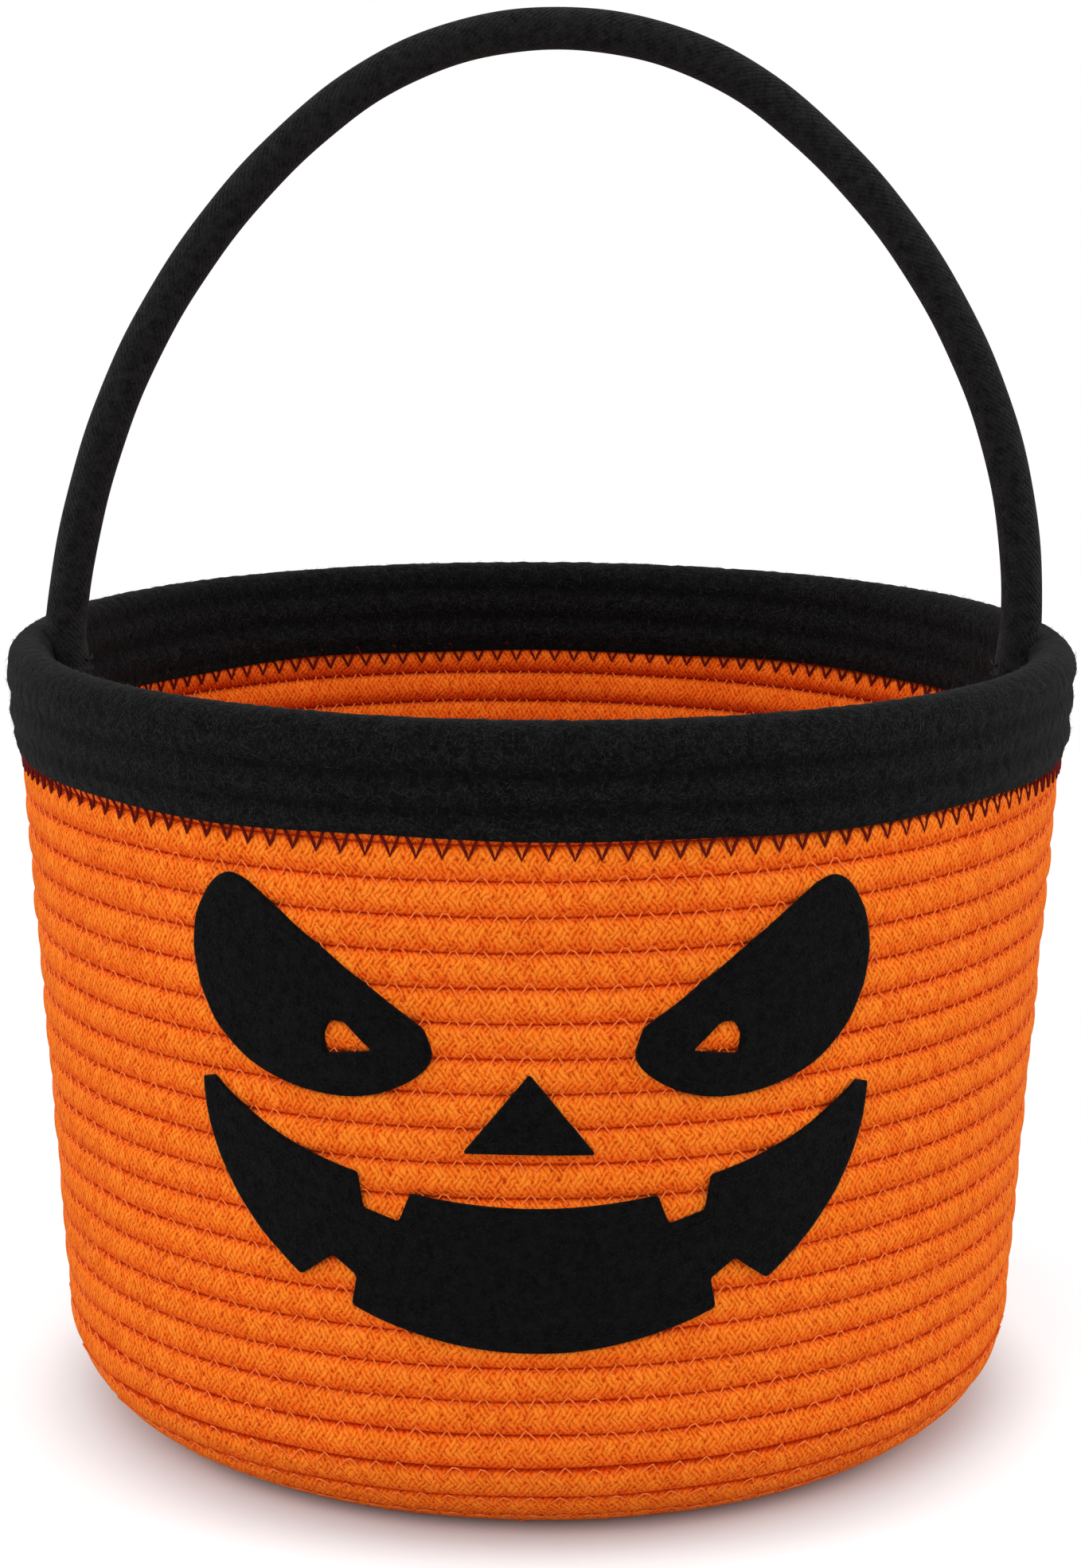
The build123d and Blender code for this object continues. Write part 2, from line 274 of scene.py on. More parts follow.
class WallForm:
    """The pail's form worked out from its sizes: where its rope runs and where its wall stands."""

    def __init__(self, settings):
        sizes, rope = settings.sizes, settings.rope
        self.pitch = sizes.pitch
        self.rope_r = sizes.rope_d / 2
        self.power = rope.squareness
        self.start = rope.start
        self.lean = math.pi / 2 - sizes.wall_lean
        self.bend_r = sizes.corner_r - self.rope_r
        self.floor_z = self.rope_r - sizes.flat_cut
        self.band_r = self.rope_r + sizes.cloth_ease + sizes.cloth
        self.top_r = sizes.rim_d / 2 - self.band_r
        self.top_z = sizes.pail_h - self.band_r
        foot_z = self.floor_z + self.bend_r * (1 - math.cos(self.lean))
        wall_length = (self.top_z - foot_z) / math.sin(self.lean)
        bend_length = self.bend_r * self.lean
        self.flat_r = self.top_r - wall_length * math.cos(self.lean) - self.bend_r * math.sin(self.lean)
        self.base_turns = (self.flat_r - self.pitch / 4) / self.pitch
        self.wall_turns = (bend_length + wall_length) / self.pitch

    def rope(self, turn):
        """Rope's middle at each turn, and its directions up the wall's section, out of it and along it.

        The section runs flat, bends up on an arc and then leans out in a straight line, a pitch for each
        turn, and the whole coil is turned about the upright by its start. At its beginning, half circles
        about two centres a half pitch apart close its middle, and the plain spiral takes over from them
        within one turn.
        """
        run = self.pitch * turn
        angle = np.clip(run / self.bend_r, 0, self.lean)
        climb = np.maximum(run - self.bend_r * self.lean, 0)
        radius = self.flat_r + np.minimum(run, 0) + self.bend_r * np.sin(angle)
        radius = radius + climb * math.cos(self.lean)
        height = self.floor_z + self.bend_r * (1 - np.cos(angle)) + climb * math.sin(self.lean)
        around = 2 * np.pi * (turn + self.start)
        place = np.stack([radius * np.cos(around), radius * np.sin(around), height], -1)
        half = np.floor(2 * (turn + self.base_turns))
        swing = -np.where(half % 2 == 0, 1, -1) * self.pitch / 4
        first = 2 * np.pi * (self.start - self.base_turns)
        reach = (half + 1) * self.pitch / 2
        inner_x = swing * math.cos(first) + reach * np.cos(around)
        inner_y = swing * math.sin(first) + reach * np.sin(around)
        inner = np.stack([inner_x, inner_y, height], -1)
        place = inner + (place - inner) * smooth(turn + self.base_turns - 1)[:, None]
        along = unit(np.gradient(place, axis=0))
        side = unit(np.cross(along, UP))
        rise = np.cross(side, along)
        bend_cos, bend_sin = np.cos(angle)[:, None], np.sin(angle)[:, None]
        return place, bend_cos * side + bend_sin * rise, bend_sin * side - bend_cos * rise, along

    def steep(self, turn):
        """How far the rope has gone over from the flat base to the wall, from 0 to 1."""
        return smooth(self.pitch * turn / (self.bend_r * self.lean))

    def measured(self):
        """Many turns along the whole rope, and the length of rope up to each."""
        turn = np.linspace(-self.base_turns, self.wall_turns, MEASURED)
        return turn, run_along(self.rope(turn)[0])

    def even_turns(self, first, last, step):
        """Turns a step apart along the rope, and the lengths of rope up to them from the coil's start."""
        turn, run = self.measured()
        start, end = np.interp([first, last], turn, run)
        lengths = np.linspace(start, end, max(8, round((end - start) / step)) + 1)
        return np.interp(lengths, run, turn), lengths

    def at(self, below, offset):
        """Radius and height, a length down the wall from the rim's middle and an offset out from it."""
        radius = self.top_r - below * math.cos(self.lean) + offset * math.sin(self.lean)
        return radius, self.top_z - below * math.sin(self.lean) - offset * math.cos(self.lean)

    def below(self, height):
        """Length down the wall from the rim's middle to a height."""
        return (self.top_z - height) / math.sin(self.lean)

    def turned(self, below, offset, around):
        """Places at angles round the pail."""
        radius, height = self.at(below, offset)
        return np.stack([radius * np.cos(around), radius * np.sin(around), height + 0 * around], -1)

    def row_part(self, below, around):
        """Place across the nearest row, from -1 at its lower edge to 1 at its upper edge."""
        turn = self.wall_turns - below / self.pitch + self.start - around / (2 * np.pi)
        return 2 * ((turn + 0.5) % 1 - 0.5)

    def row_height(self, below, around):
        """How far the rows stand out from the rope's middle: the rope's own section over each row."""
        part = np.abs(self.row_part(below, around))
        return self.rope_r * (1 - np.minimum(part, 1) ** self.power) ** (1 / self.power)

    def laid(self, x, z, offset, around):
        """Places of a pattern seen from the front, x across and z up, laid on the wall and then turned.

        The wall's radius at that height and offset gives the depth, as the long side of a triangle.
        """
        radius = self.top_r - (self.top_z - z) / math.tan(self.lean) + offset / math.sin(self.lean)
        y = -np.sqrt(radius ** 2 - x ** 2)
        c, s = math.cos(around), math.sin(around)
        return np.stack([c * x - s * y, s * x + c * y, z + 0 * x], -1)


def grid_faces(rows, columns, wrap_rows=False, wrap_columns=True):
    """Quads between neighbouring rows and columns of a grid of points."""
    i = np.arange(rows if wrap_rows else rows - 1)[:, None]
    j = np.arange(columns if wrap_columns else columns - 1)[None, :]
    below, beside = (i + 1) % rows, (j + 1) % columns
    corners = [i * columns + j, i * columns + beside, below * columns + beside, below * columns + j]
    return np.stack(corners, -1).reshape(-1, 4)


def grid_uv(u, v, wrap_v):
    """Pattern coordinates of each quad's corners; past the seam they go on and don't jump back."""
    v = np.concatenate([v, [wrap_v]])
    u0, u1 = u[:-1, None], u[1:, None]
    v0, v1 = v[None, :-1], v[None, 1:]
    corners = [np.broadcast_arrays(a, b) for a, b in ((u0, v0), (u0, v1), (u1, v1), (u1, v0))]
    return np.stack([np.stack(c, -1) for c in corners], -2).reshape(-1, 2)


def outward(points, faces):
    """Faces turned so that the closed surface's volume is positive."""
    a, b, c, d = (points[faces[:, k]] for k in range(4))
    volume = (a * np.cross(b, c)).sum() + (a * np.cross(c, d)).sum()
    return faces if volume > 0 else faces[:, ::-1]


def piece(name, points, faces, material, uv=None, caps=(), marks=None):
    """A smooth mesh piece from points and quads.

    Caps close its ends, and pattern coordinates and point values are for its material, where it has them.
    """
    mesh = bpy.data.meshes.new(name)
    mesh.from_pydata(points.reshape(-1, 3), [], faces.tolist() + [list(cap) for cap in caps])
    mesh.shade_smooth()
    for key, corners in (uv or {}).items():
        layer = mesh.uv_layers.new(name=key)
        filled = np.zeros((len(mesh.loops), 2), np.float32)
        filled[:len(corners)] = corners
        layer.data.foreach_set("uv", filled.ravel())
    for key, values in (marks or {}).items():
        kept = mesh.attributes.new(key, "FLOAT", "POINT")
        kept.data.foreach_set("value", np.ascontiguousarray(values, np.float32).ravel())
    mesh.materials.append(material)
    made = bpy.data.objects.new(name, mesh)
    bpy.context.scene.collection.objects.link(made)
    return made


def swept(path, lead, radius, sides, along=None):
    """Rings of points round a path, or round many paths.

    A lead direction, squared to the path's own, and its cross product with that make each ring.
    """
    if along is None:
        along = unit(np.gradient(path, axis=-2))
    first = unit(lead - along * (lead * along).sum(-1, keepdims=True))
    second = np.cross(along, first)
    turn = angles(sides)[:, None]
    ring = np.cos(turn) * first[..., None, :] + np.sin(turn) * second[..., None, :]
    return path[..., None, :] + radius * ring


def end_caps(rows, columns):
    """The first and last ring of a tube as its closing faces."""
    last = (rows - 1) * columns
    return [range(columns - 1, -1, -1), range(last, last + columns)]


def many_tubes(count, rows, columns):
    """Faces and closing faces of many short tubes whose points follow one another."""
    shift = rows * columns * np.arange(count)[:, None, None]
    ends = np.array([list(cap) for cap in end_caps(rows, columns)])
    return (grid_faces(rows, columns) + shift).reshape(-1, 4), (ends + shift).reshape(-1, columns).tolist()


def tube(name, path, lead, radius, sides, material):
    """A closed tube along a path."""
    points = swept(path, lead, radius, sides)
    return piece(name, points, grid_faces(len(path), sides), material, caps=end_caps(len(path), sides))


class Shader:
    """Small helper that adds nodes to one material, each with its inputs."""

    def __init__(self, name):
        self.material = bpy.data.materials.new(name)
        self.material.use_nodes = True
        self.tree = self.material.node_tree
        self.surface = self.tree.nodes["Principled BSDF"]

    def add(self, kind, inputs=None, **settings):
        """One node; an input that is a socket is linked, and any other value is set."""
        made = self.tree.nodes.new(kind)
        for key, value in settings.items():
            setattr(made, key, value)
        self.fill(made, inputs or {})
        return made

    def fill(self, made, inputs):
        """Links or sets a node's inputs."""
        for key, value in inputs.items():
            if isinstance(value, bpy.types.NodeSocket):
                self.tree.links.new(value, made.inputs[key])
            else:
                made.inputs[key].default_value = value

    def sum(self, operation, a, b=0.0, c=0.0):
        """One step of arithmetic."""
        return self.add("ShaderNodeMath", {0: a, 1: b, 2: c}, operation=operation).outputs[0]

    def mix(self, factor, a, b, how="MIX"):
        """Two colours mixed."""
        made = self.add("ShaderNodeMix", data_type="RGBA", blend_type=how)
        self.fill(made, {0: factor, 6: a, 7: b})
        return made.outputs[2]

    def noise(self, scale, detail, stretch=None):
        """Soft random pattern on the piece's own coordinates, its scale in repeats for each metre."""
        spot = self.add("ShaderNodeTexCoord").outputs["Object"]
        if stretch:
            spot = self.add("ShaderNodeMapping", {"Vector": spot, "Scale": stretch}).outputs[0]
        return self.add("ShaderNodeTexNoise", {"Vector": spot, "Scale": scale, "Detail": detail}).outputs[0]

    def ramp(self, value, *stops):
        """Colours along a value, each stop a place and a colour."""
        made = self.add("ShaderNodeValToRGB", {0: value})
        line = made.color_ramp.elements
        line.remove(line[1])
        for number, (place, shade) in enumerate(stops):
            element = line.new(place) if number else line[0]
            element.position = place
            element.color = (*shade, 1.0)
        return made.outputs[0]

    def bump(self, height, distance, strength=1.0):
        """Surface detail from a height."""
        inputs = {"Height": height, "Distance": distance, "Strength": strength}
        return self.add("ShaderNodeBump", inputs).outputs[0]

    def spread(self, value, width):
        """A value from 0 to 1 made as wide as asked, with zero in its middle."""
        return self.sum("MULTIPLY_ADD", value, width, -width / 2)

    def mark(self, name):
        """A value that the piece's points carry."""
        return self.add("ShaderNodeAttribute", attribute_name=name).outputs["Fac"]

    def lay(self, name="lay"):
        """The two pattern coordinates that run along and across a piece."""
        spot = self.add("ShaderNodeUVMap", uv_map=name).outputs[0]
        parts = self.add("ShaderNodeSeparateXYZ", {0: spot})
        return parts.outputs[0], parts.outputs[1]

    def finish(self, shade, normal, roughness, specular=0.1, sheen=0.0):
        """Plain values on the shader's own sockets, with a colour and a bump."""
        self.fill(self.surface, {
            "Base Color": shade, "Normal": normal, "Roughness": roughness, "Specular IOR Level": specular,
            "Sheen Weight": sheen, "Sheen Roughness": 0.4,
        })
        return self.material


OVER = 0.55         # how far a strand rises and sinks as it crosses others, as a share of its thickness
WANDER_ALONG = 1.3  # how far strands wander along the rope, in strands
WANDER_ROUND = 0.9  # and round it
YARN_RISE = 0.6     # shares in the rope's unevenness: its yarns,
STRAND_RISE = 0.35  # its strands as they cross,
STRAND_ODDS = 0.35  # differences from strand to strand,
HAIR_RISE = 0.9     # its hairs
HOLE_DEPTH = 0.3    # and the needle holes
HOLE_SHADE = 0.25    # how much painted shade darkens a needle hole
# Painted shade across a row from its lower edge to its upper edge, outside and inside the pail:
# darker and redder at the grooves and along the lower side; inside, also painted reddish bounce light
OUTER_ROW_SHADE = (
    (0.0, (0.74, 0.29, 0.22)), (0.03, (0.92, 0.55, 0.49)), (0.08, (1.0, 0.73, 0.69)),
    (0.3, (1.0, 0.8, 0.78)), (0.52, (1.0, 1.0, 1.0)), (0.8, (1.0, 0.98, 0.98)),
    (0.95, (0.98, 0.78, 0.74)), (1.0, (0.7, 0.24, 0.18)),
)
INNER_ROW_SHADE = (
    (0.0, (0.46, 0.14, 0.11)), (0.1, (0.68, 0.31, 0.26)), (0.3, (0.84, 0.5, 0.44)),
    (0.52, (1.0, 0.74, 0.72)), (0.9, (1.0, 0.8, 0.76)), (1.0, (0.7, 0.34, 0.28)),
)


def rope_material(look, pitch):
    """Braided rope, bumped by a braid's height worked out from its pattern coordinates, with painted shade
    in its pits.

    Two families of strands cross on the diagonals of u and v, which a soft noise shifts a little. Each is
    round across, and rises and sinks by OVER along its length as it passes over and under the other; the
    higher one shows, as two yarns. Where the thread enters, small bells of distance paint shade into the
    rope's needle holes. Painted shade also makes the rope darker and redder towards the grooves, most of
    all along each row's lower side up the wall, and inside the pail, where painted reddish bounce light
    adds to it. On the flat base both sides of a row are alike, so there its place across is folded in two.
    """
    m = Shader("orange_braid")
    u, v = m.lay()
    u = m.sum("ADD", u, m.spread(m.noise(420.0, 2.0), WANDER_ALONG))
    v = m.sum("ADD", v, m.spread(m.noise(380.0, 2.0, stretch=(1.0, 1.0, -1.0)), WANDER_ROUND))
    a = m.sum("MULTIPLY", m.sum("SUBTRACT", u, v), 0.5)
    b = m.sum("MULTIPLY", m.sum("ADD", u, v), 0.5)
    cell_a, cell_b = m.sum("FLOOR", a), m.sum("FLOOR", b)
    odd = m.sum("FLOORED_MODULO", m.sum("ADD", cell_a, cell_b), 2.0)
    over = m.sum("MULTIPLY_ADD", odd, -2 * OVER, OVER)
    part_a, part_b = m.sum("FRACT", a), m.sum("FRACT", b)
    across_a = m.sum("SINE", m.sum("MULTIPLY", part_a, math.pi))
    across_b = m.sum("SINE", m.sum("MULTIPLY", part_b, math.pi))
    height_a = m.sum("MULTIPLY_ADD", over, across_b, across_a)
    height_b = m.sum("SUBTRACT", across_b, m.sum("MULTIPLY", over, across_a))
    height = m.sum("DIVIDE", m.sum("MAXIMUM", height_a, height_b), 1 + OVER)
    a_on_top = m.sum("GREATER_THAN", height_a, height_b)
    shown = m.sum("ADD", m.sum("MULTIPLY", part_a, a_on_top),
                  m.sum("MULTIPLY", part_b, m.sum("SUBTRACT", 1.0, a_on_top)))
    yarn = m.sum("ABSOLUTE", m.sum("SINE", m.sum("MULTIPLY", shown, 2 * math.pi)))
    cell = m.add("ShaderNodeCombineXYZ", {0: cell_a, 1: cell_b, 2: a_on_top}).outputs[0]
    each = m.add("ShaderNodeTexWhiteNoise", {"Vector": cell}).outputs["Value"]
    hair = m.spread(m.noise(1500.0, 4.0), HAIR_RISE)
    lie = m.sum("MULTIPLY_ADD", yarn, YARN_RISE, m.sum("MULTIPLY_ADD", height, STRAND_RISE, -0.02))
    lie = m.sum("ADD", lie, m.spread(each, STRAND_ODDS))
    hole = holes(m, look, pitch)
    uneven = m.sum("SUBTRACT", m.sum("ADD", lie, hair), m.sum("MULTIPLY", hole, HOLE_DEPTH))
    # painted shade: the braid's height colours the rope dark in the pits between strands and light on their
    # tops
    shade = m.ramp(uneven, (0.0, look.pit_shade), (0.38, look.middle), (0.9, look.crest))
    blotch = m.ramp(m.noise(70.0, 4.0), (0.3, (0.86, 0.78, 0.6)), (0.7, (1.0, 1.0, 1.0)))
    shade = m.mix(0.5, shade, blotch, "MULTIPLY")
    # painted shade darkens the rope in the needle holes
    shade = m.mix(m.sum("MULTIPLY", hole, HOLE_SHADE), shade, (*look.hole, 1.0))
    # painted shade across each row, and inside the pail also painted bounce light; facing picks the inside
    # or outside set
    off = m.sum("MULTIPLY", m.mark("across"), 1 / pitch)
    flat = m.sum("SUBTRACT", 1.0, m.mark("steep"))
    folded = m.sum("MULTIPLY", m.sum("SUBTRACT", m.sum("ABSOLUTE", off), off), flat)
    part = m.sum("ADD", m.sum("ADD", off, 0.5), folded)
    outside = m.ramp(m.mark("facing"), (0.0, (0.0, 0.0, 0.0)), (0.2, (1.0, 1.0, 1.0)))
    row_shade = m.mix(outside, m.ramp(part, *INNER_ROW_SHADE), m.ramp(part, *OUTER_ROW_SHADE))
    shade = m.mix(1.0, shade, row_shade, "MULTIPLY")
    normal = m.bump(uneven, 0.5 * MM, 0.9)
    return m.finish(shade, normal, 0.92, specular=0.06)


def holes(m, look, pitch):
    """Needle holes as bells of distance from where the two seams beside a row turn back in it.

    The pattern coordinates count the stitches of the seam over the row and of the one under it, and the
    attribute is the length across the row. A draw for each stitch shifts its hole and makes some fainter.
    """
    over, under = m.lay("sew")
    across = m.mark("across")
    bells = []
    for count, spot in ((m.sum("ADD", over, 0.5), pitch / 2 - look.stitch_down),
                        (under, look.stitch_up - pitch / 2)):
        number = m.sum("FLOOR", count)
        draw = m.add("ShaderNodeTexWhiteNoise", {"W": number}, noise_dimensions="1D")
        shift = m.add("ShaderNodeSeparateXYZ", {0: draw.outputs["Color"]})
        along = m.sum("MULTIPLY", m.sum("SUBTRACT", m.sum("FRACT", count), 0.5), look.stitch / look.hole_r)
        along = m.sum("ADD", along, m.spread(shift.outputs[0], 1.2))
        side = m.sum("MULTIPLY", m.sum("SUBTRACT", across, spot), 1 / look.hole_r)
        side = m.sum("ADD", side, m.spread(shift.outputs[1], 1.4))
        away = m.sum("MULTIPLY_ADD", along, along, m.sum("MULTIPLY", side, side))
        bell = m.sum("EXPONENT", m.sum("MULTIPLY", away, -1.0))
        bells.append(m.sum("MULTIPLY", bell, m.sum("MULTIPLY_ADD", shift.outputs[2], 0.7, 0.3)))
    return m.sum("MAXIMUM", *bells)


def thread_material(name, shade):
    """Twisted sewing thread."""
    m = Shader(name)
    hair = m.noise(2600.0, 2.0)
    twist = m.ramp(hair, (0.3, times(0.75, shade)), (0.65, tuple(shade)))
    return m.finish(twist, m.bump(hair, 0.1 * MM), 0.75)


def cloth_material(name, shade, lint, sheen, weave=None, ridges=False):
    """Dark brushed cloth: soft tufts, tangled fibres that catch the light, and a weave where it has one.

    A fibre runs along each line where a noise passes through its middle value. Where the cloth has ridges,
    painted shade makes it darker between them and lighter on their tops and over the rim.
    """
    m = Shader(name)
    tuft = m.noise(430.0, 4.0)
    fine = m.noise(1900.0, 3.0)
    fibres = []
    for scale, thin in ((330.0, 0.03), (720.0, 0.05)):
        off = m.sum("ABSOLUTE", m.sum("SUBTRACT", m.noise(scale, 2.5), 0.5))
        fibres.append(m.ramp(off, (0.0, (1, 1, 1)), (thin, (0, 0, 0))))
    gaps = m.ramp(fine, (0.35, (0, 0, 0)), (0.62, (1, 1, 1)))
    fibre = m.sum("MULTIPLY", m.sum("MAXIMUM", *fibres), gaps)
    body = m.ramp(tuft, (0.34, times(0.35, shade)), (0.68, times(1.9, shade)))
    dressed = m.mix(m.sum("MULTIPLY", fibre, 0.6), body, (*lint, 1.0))
    if ridges:
        # painted shade between the cloth's ridges, lighter on their tops and over the rim
        ridge = m.mark("ridge")
        ridge_shade = m.ramp(ridge, (0.0, (0.35, 0.35, 0.35)), (0.5, (0.7, 0.7, 0.7)), (1.0, (1.0, 1.0, 1.0)))
        dressed = m.mix(1.0, dressed, ridge_shade, "MULTIPLY")
    height = m.sum("MULTIPLY_ADD", fibre, 0.35, m.sum("MULTIPLY_ADD", fine, 0.3, tuft))
    if weave:
        u, v = m.lay()
        rib = m.sum("SINE", m.sum("MULTIPLY_ADD", u, weave[0], m.sum("MULTIPLY", v, weave[1])))
        height = m.sum("ADD", height, m.sum("MULTIPLY", rib, 0.16))
        dressed = m.mix(m.sum("MULTIPLY_ADD", rib, 0.12, 0.12), dressed, (*times(2.2, shade), 1.0))
    return m.finish(dressed, m.bump(height, 0.6 * MM, 0.9), 0.95, specular=0.08, sheen=sheen)


START_RINGS = 10        # rings that round off the rope's start,
START_TIP = 0.1         # how thin they get, as a share of the rope's radius,
END_TIP = 0.02          # and how near its far end the rope goes on, in radii
SWAY = 0.12 * MM        # how far the rope wavers in and out,
SWAY_LONG = 17.1 * MM   # in two waves, by their length for each radian
SWAY_SHORT = 6.3 * MM
DRIFT_LONG = 61.0 * MM  # the two waves by which the braid drifts round the rope
DRIFT_SHORT = 23.7 * MM


class PAIL_OT_coil_rope(bpy.types.Operator):
    """One braided rope, coiled flat for the base and on up for the wall, its rows edge to edge."""
    bl_idname = "pail.coil_rope"
    bl_label = "Coil the rope"

    def execute(self, context):
        settings = context.scene.candy_pail
        form, look = WallForm(settings), settings.rope
        material = rope_material(look, form.pitch)
        join = settings.sizes.join_turn
        base = self.rope(form, look, -form.base_turns, join)
        made = self.sewn("base_rope", base, material)
        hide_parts("base_coil")
        wall = self.rope(form, look, join, form.wall_turns)
        cuts = np.linspace(0, len(wall[0]) - 1, look.wall_pieces + 1).astype(int)
        for number, (first, last) in enumerate(zip(cuts, cuts[1:])):
            points, lay, v, marks = wall
            part = points[first:last + 1], lay[first:last + 1], v, marks[:, first:last + 1]
            made = self.sewn(f"wall_rope_{number + 1}", part, material)
            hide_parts("wall_coil")
        return {"FINISHED"}

    def rope(self, form, look, first, last):
        """Rope's surface: a slightly squared ellipse, flatter outside than inside, carried along the coil.

        Across the rows it is a little over half a pitch, so neighbours press together. Outwards it is the
        rope's own radius, but under the flat base only as thick as the floor leaves it. A half round on its
        start closes the middle of the base, and its far end thins out on an ellipse.
        """
        turn, run = form.even_turns(first, last, look.step)
        place, up, out, along = form.rope(turn)
        rings = START_RINGS if first == -form.base_turns else 0
        tip = np.linspace(1.0, 1 / START_RINGS, rings)[:, None]
        half = form.pitch / 2
        place = np.concatenate([place[0] - tip * half * along[0], place])
        up, out = (np.concatenate([0 * tip + side[0], side]) for side in (up, out))
        turn = np.concatenate([0 * tip[:, 0] + turn[0], turn])
        run = np.concatenate([run[0] - tip[:, 0] * half, run])
        ring = angles(look.sides)
        c, s = np.cos(ring), np.sin(ring)
        power = np.where(s > 0, look.squareness, look.roundness)
        bulge = (np.abs(c) ** power + np.abs(s) ** power) ** (-1 / power)
        across, outwards = bulge * c * (half + look.press), bulge * s
        steep = form.steep(turn)
        outer = form.floor_z + (form.rope_r + look.fullness - form.floor_z) * steep
        thick = np.where(s[None, :] > 0, outer[:, None], form.rope_r)
        sway = SWAY * (np.sin(run / SWAY_LONG) + np.sin(run / SWAY_SHORT + 1.0))
        left = np.clip((form.wall_turns - turn) * 2 * np.pi * form.pitch / form.rope_r, END_TIP, 1)
        end = np.sqrt(1 - (1 - left) ** 2)[:, None]
        end[:len(tip)] = np.sqrt(1 + START_TIP ** 2 - tip ** 2)
        outwards = outwards * thick * end + (sway * steep)[:, None]
        points = place[:, None] + (across * end)[..., None] * up[:, None]
        points = points + outwards[..., None] * out[:, None]
        points[..., 2] = np.maximum(points[..., 2], 0.0)
        drift = 0.5 * np.sin(run / DRIFT_LONG) + 0.3 * np.sin(run / DRIFT_SHORT)
        turns, runs = form.measured()
        earlier = np.interp(turn - 1, turns, runs)
        lay = np.stack([run / look.braid, drift, run / look.stitch, earlier / look.stitch], -1)
        marks = np.stack(np.broadcast_arrays(across[None], s[None], steep[:, None]))
        return points, lay, look.strands * ring / (2 * np.pi), marks

    def sewn(self, name, part, material):
        """One stretch of rope as a piece, with its braid's coordinates and the count of its stitches."""
        points, lay, v, marks = part
        rows, columns = points.shape[:2]
        braid = grid_uv(lay[:, 0], v, wrap_v=v[1] * columns)
        corners = np.stack([lay[:-1], lay[:-1], lay[1:], lay[1:]], 1)
        corners = np.repeat(corners[:, None], columns, axis=1).reshape(-1, lay.shape[1])
        braid[:, 1] += corners[:, 1]
        uv = {"lay": braid, "sew": corners[:, 2:]}
        marks = dict(zip(("across", "facing", "steep"), marks))
        made = piece(name, points, grid_faces(rows, columns), material, uv, end_caps(rows, columns), marks)
        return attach(made, "basket")


SEAM_CUT = 0.36              # where each long seam is cut in two, as a share of the wall's turns
STITCH_STEPS = 6             # points along one zigzag repeat
STITCH_SLIP = 0.22           # how far a needle hole is off its place, as a share of half a repeat
STITCH_SWING = (0.75, 1.15)  # least and greatest share of its reach that a stitch takes
STITCH_PULL = 0.13           # how far a tight stitch is drawn down, as a share of the rope's radius
THREAD_OUT = 0.93            # how high the thread lies outside, as a share of that radius
THREAD_IN = 0.66             # and inside
THREAD_SIDES = 4             # points round the thread
THREAD_SEED = 23


class PAIL_OT_sew_rows(bpy.types.Operator):
    """Zigzag of orange thread over each groove between two rows, outside and inside."""
    bl_idname = "pail.sew_rows"
    bl_label = "Sew the rows"

    def execute(self, context):
        settings = context.scene.candy_pail
        form, look, sizes = WallForm(settings), settings.rope, settings.sizes
        material = thread_material("orange_thread", look.thread)
        band_turns = form.below(sizes.pail_h - sizes.band_outside) / form.pitch
        last = form.wall_turns - 1 - band_turns
        middle = form.wall_turns * SEAM_CUT
        for name, first, end, face in (
            ("row_seam_low", -form.base_turns + 0.5, middle, 1),
            ("row_seam_high", middle, last, 1),
            ("inside_seam_low", -form.base_turns + 0.5, middle, -1),
            ("inside_seam_high", middle, last, -1),
        ):
            made = self.zigzag(name, form, look, first, end, face, material)
            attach(made, "basket")
        return {"FINISHED"}

    def zigzag(self, name, form, look, first, last, face, material):
        """Thread along the coil, half a pitch past the rope's middle, swung to and fro between its holes.

        It turns down at whole repeats and up at half repeats, each a little off by a seeded draw. Drawn
        tight, it bridges the groove and is sunk in the rope at both ends of its swing.
        """
        turn, run = form.even_turns(first, last, look.stitch / STITCH_STEPS)
        draw = np.random.default_rng(THREAD_SEED)
        number = np.arange(int(run[0] / look.stitch * 2) - 2, int(run[-1] / look.stitch * 2) + 4)
        spots = (number + draw.uniform(-STITCH_SLIP, STITCH_SLIP, len(number))) * look.stitch / 2
        swing = np.where(number % 2 == 0, -look.stitch_down, look.stitch_up)
        swing = swing * draw.uniform(*STITCH_SWING, len(number))
        pulled = np.interp(run, spots, draw.uniform(0.0, STITCH_PULL, len(number)))
        place, up, out, _ = form.rope(turn)
        reach = form.pitch / 2 + np.interp(run, spots, swing)
        thick, lies = form.rope_r, THREAD_IN
        if face > 0:
            thick = form.floor_z + (form.rope_r - form.floor_z) * form.steep(turn)
            lies = THREAD_OUT
        height = face * (lies - pulled) * thick
        path = place + reach[:, None] * up + height[:, None] * out
        path[:, 2] = np.maximum(path[:, 2], look.thread_d / 2)
        return tube(name, path, out, look.thread_d / 2, THREAD_SIDES, material)


NAP_WAVES = 14         # waves that make the cloth's brushed surface,
NAP_SPAN = (2.8, 6.0)  # their lengths in millimetres,
NAP_LEVEL = 3.7        # and about how high they reach together
NAP_SEED = 5
SEAM_PULL = 0.3 * MM   # how far a seam draws the cloth in,
SEAM_REACH = 1.1 * MM  # and how far to either side of it
EDGE_THIN = 0.55       # thickness of the cut edge, as a share of the cloth's
EDGE_ROUND = 0.8 * MM  # width along the edge over which the cloth thins,
EDGE_FLAT = 4.5 * MM   # over which its swell dies away,
EDGE_HELD = 4.0 * MM   # over which it is held in
EDGE_SAG = 6.0 * MM    # and over which it sags
HELD_IN = 0.25 * MM    # how far the edge is held in,
SAG = 0.35 * MM        # and how far it sags in five waves
SAG_FINE = 0.25 * MM   # and in eleven round the rim


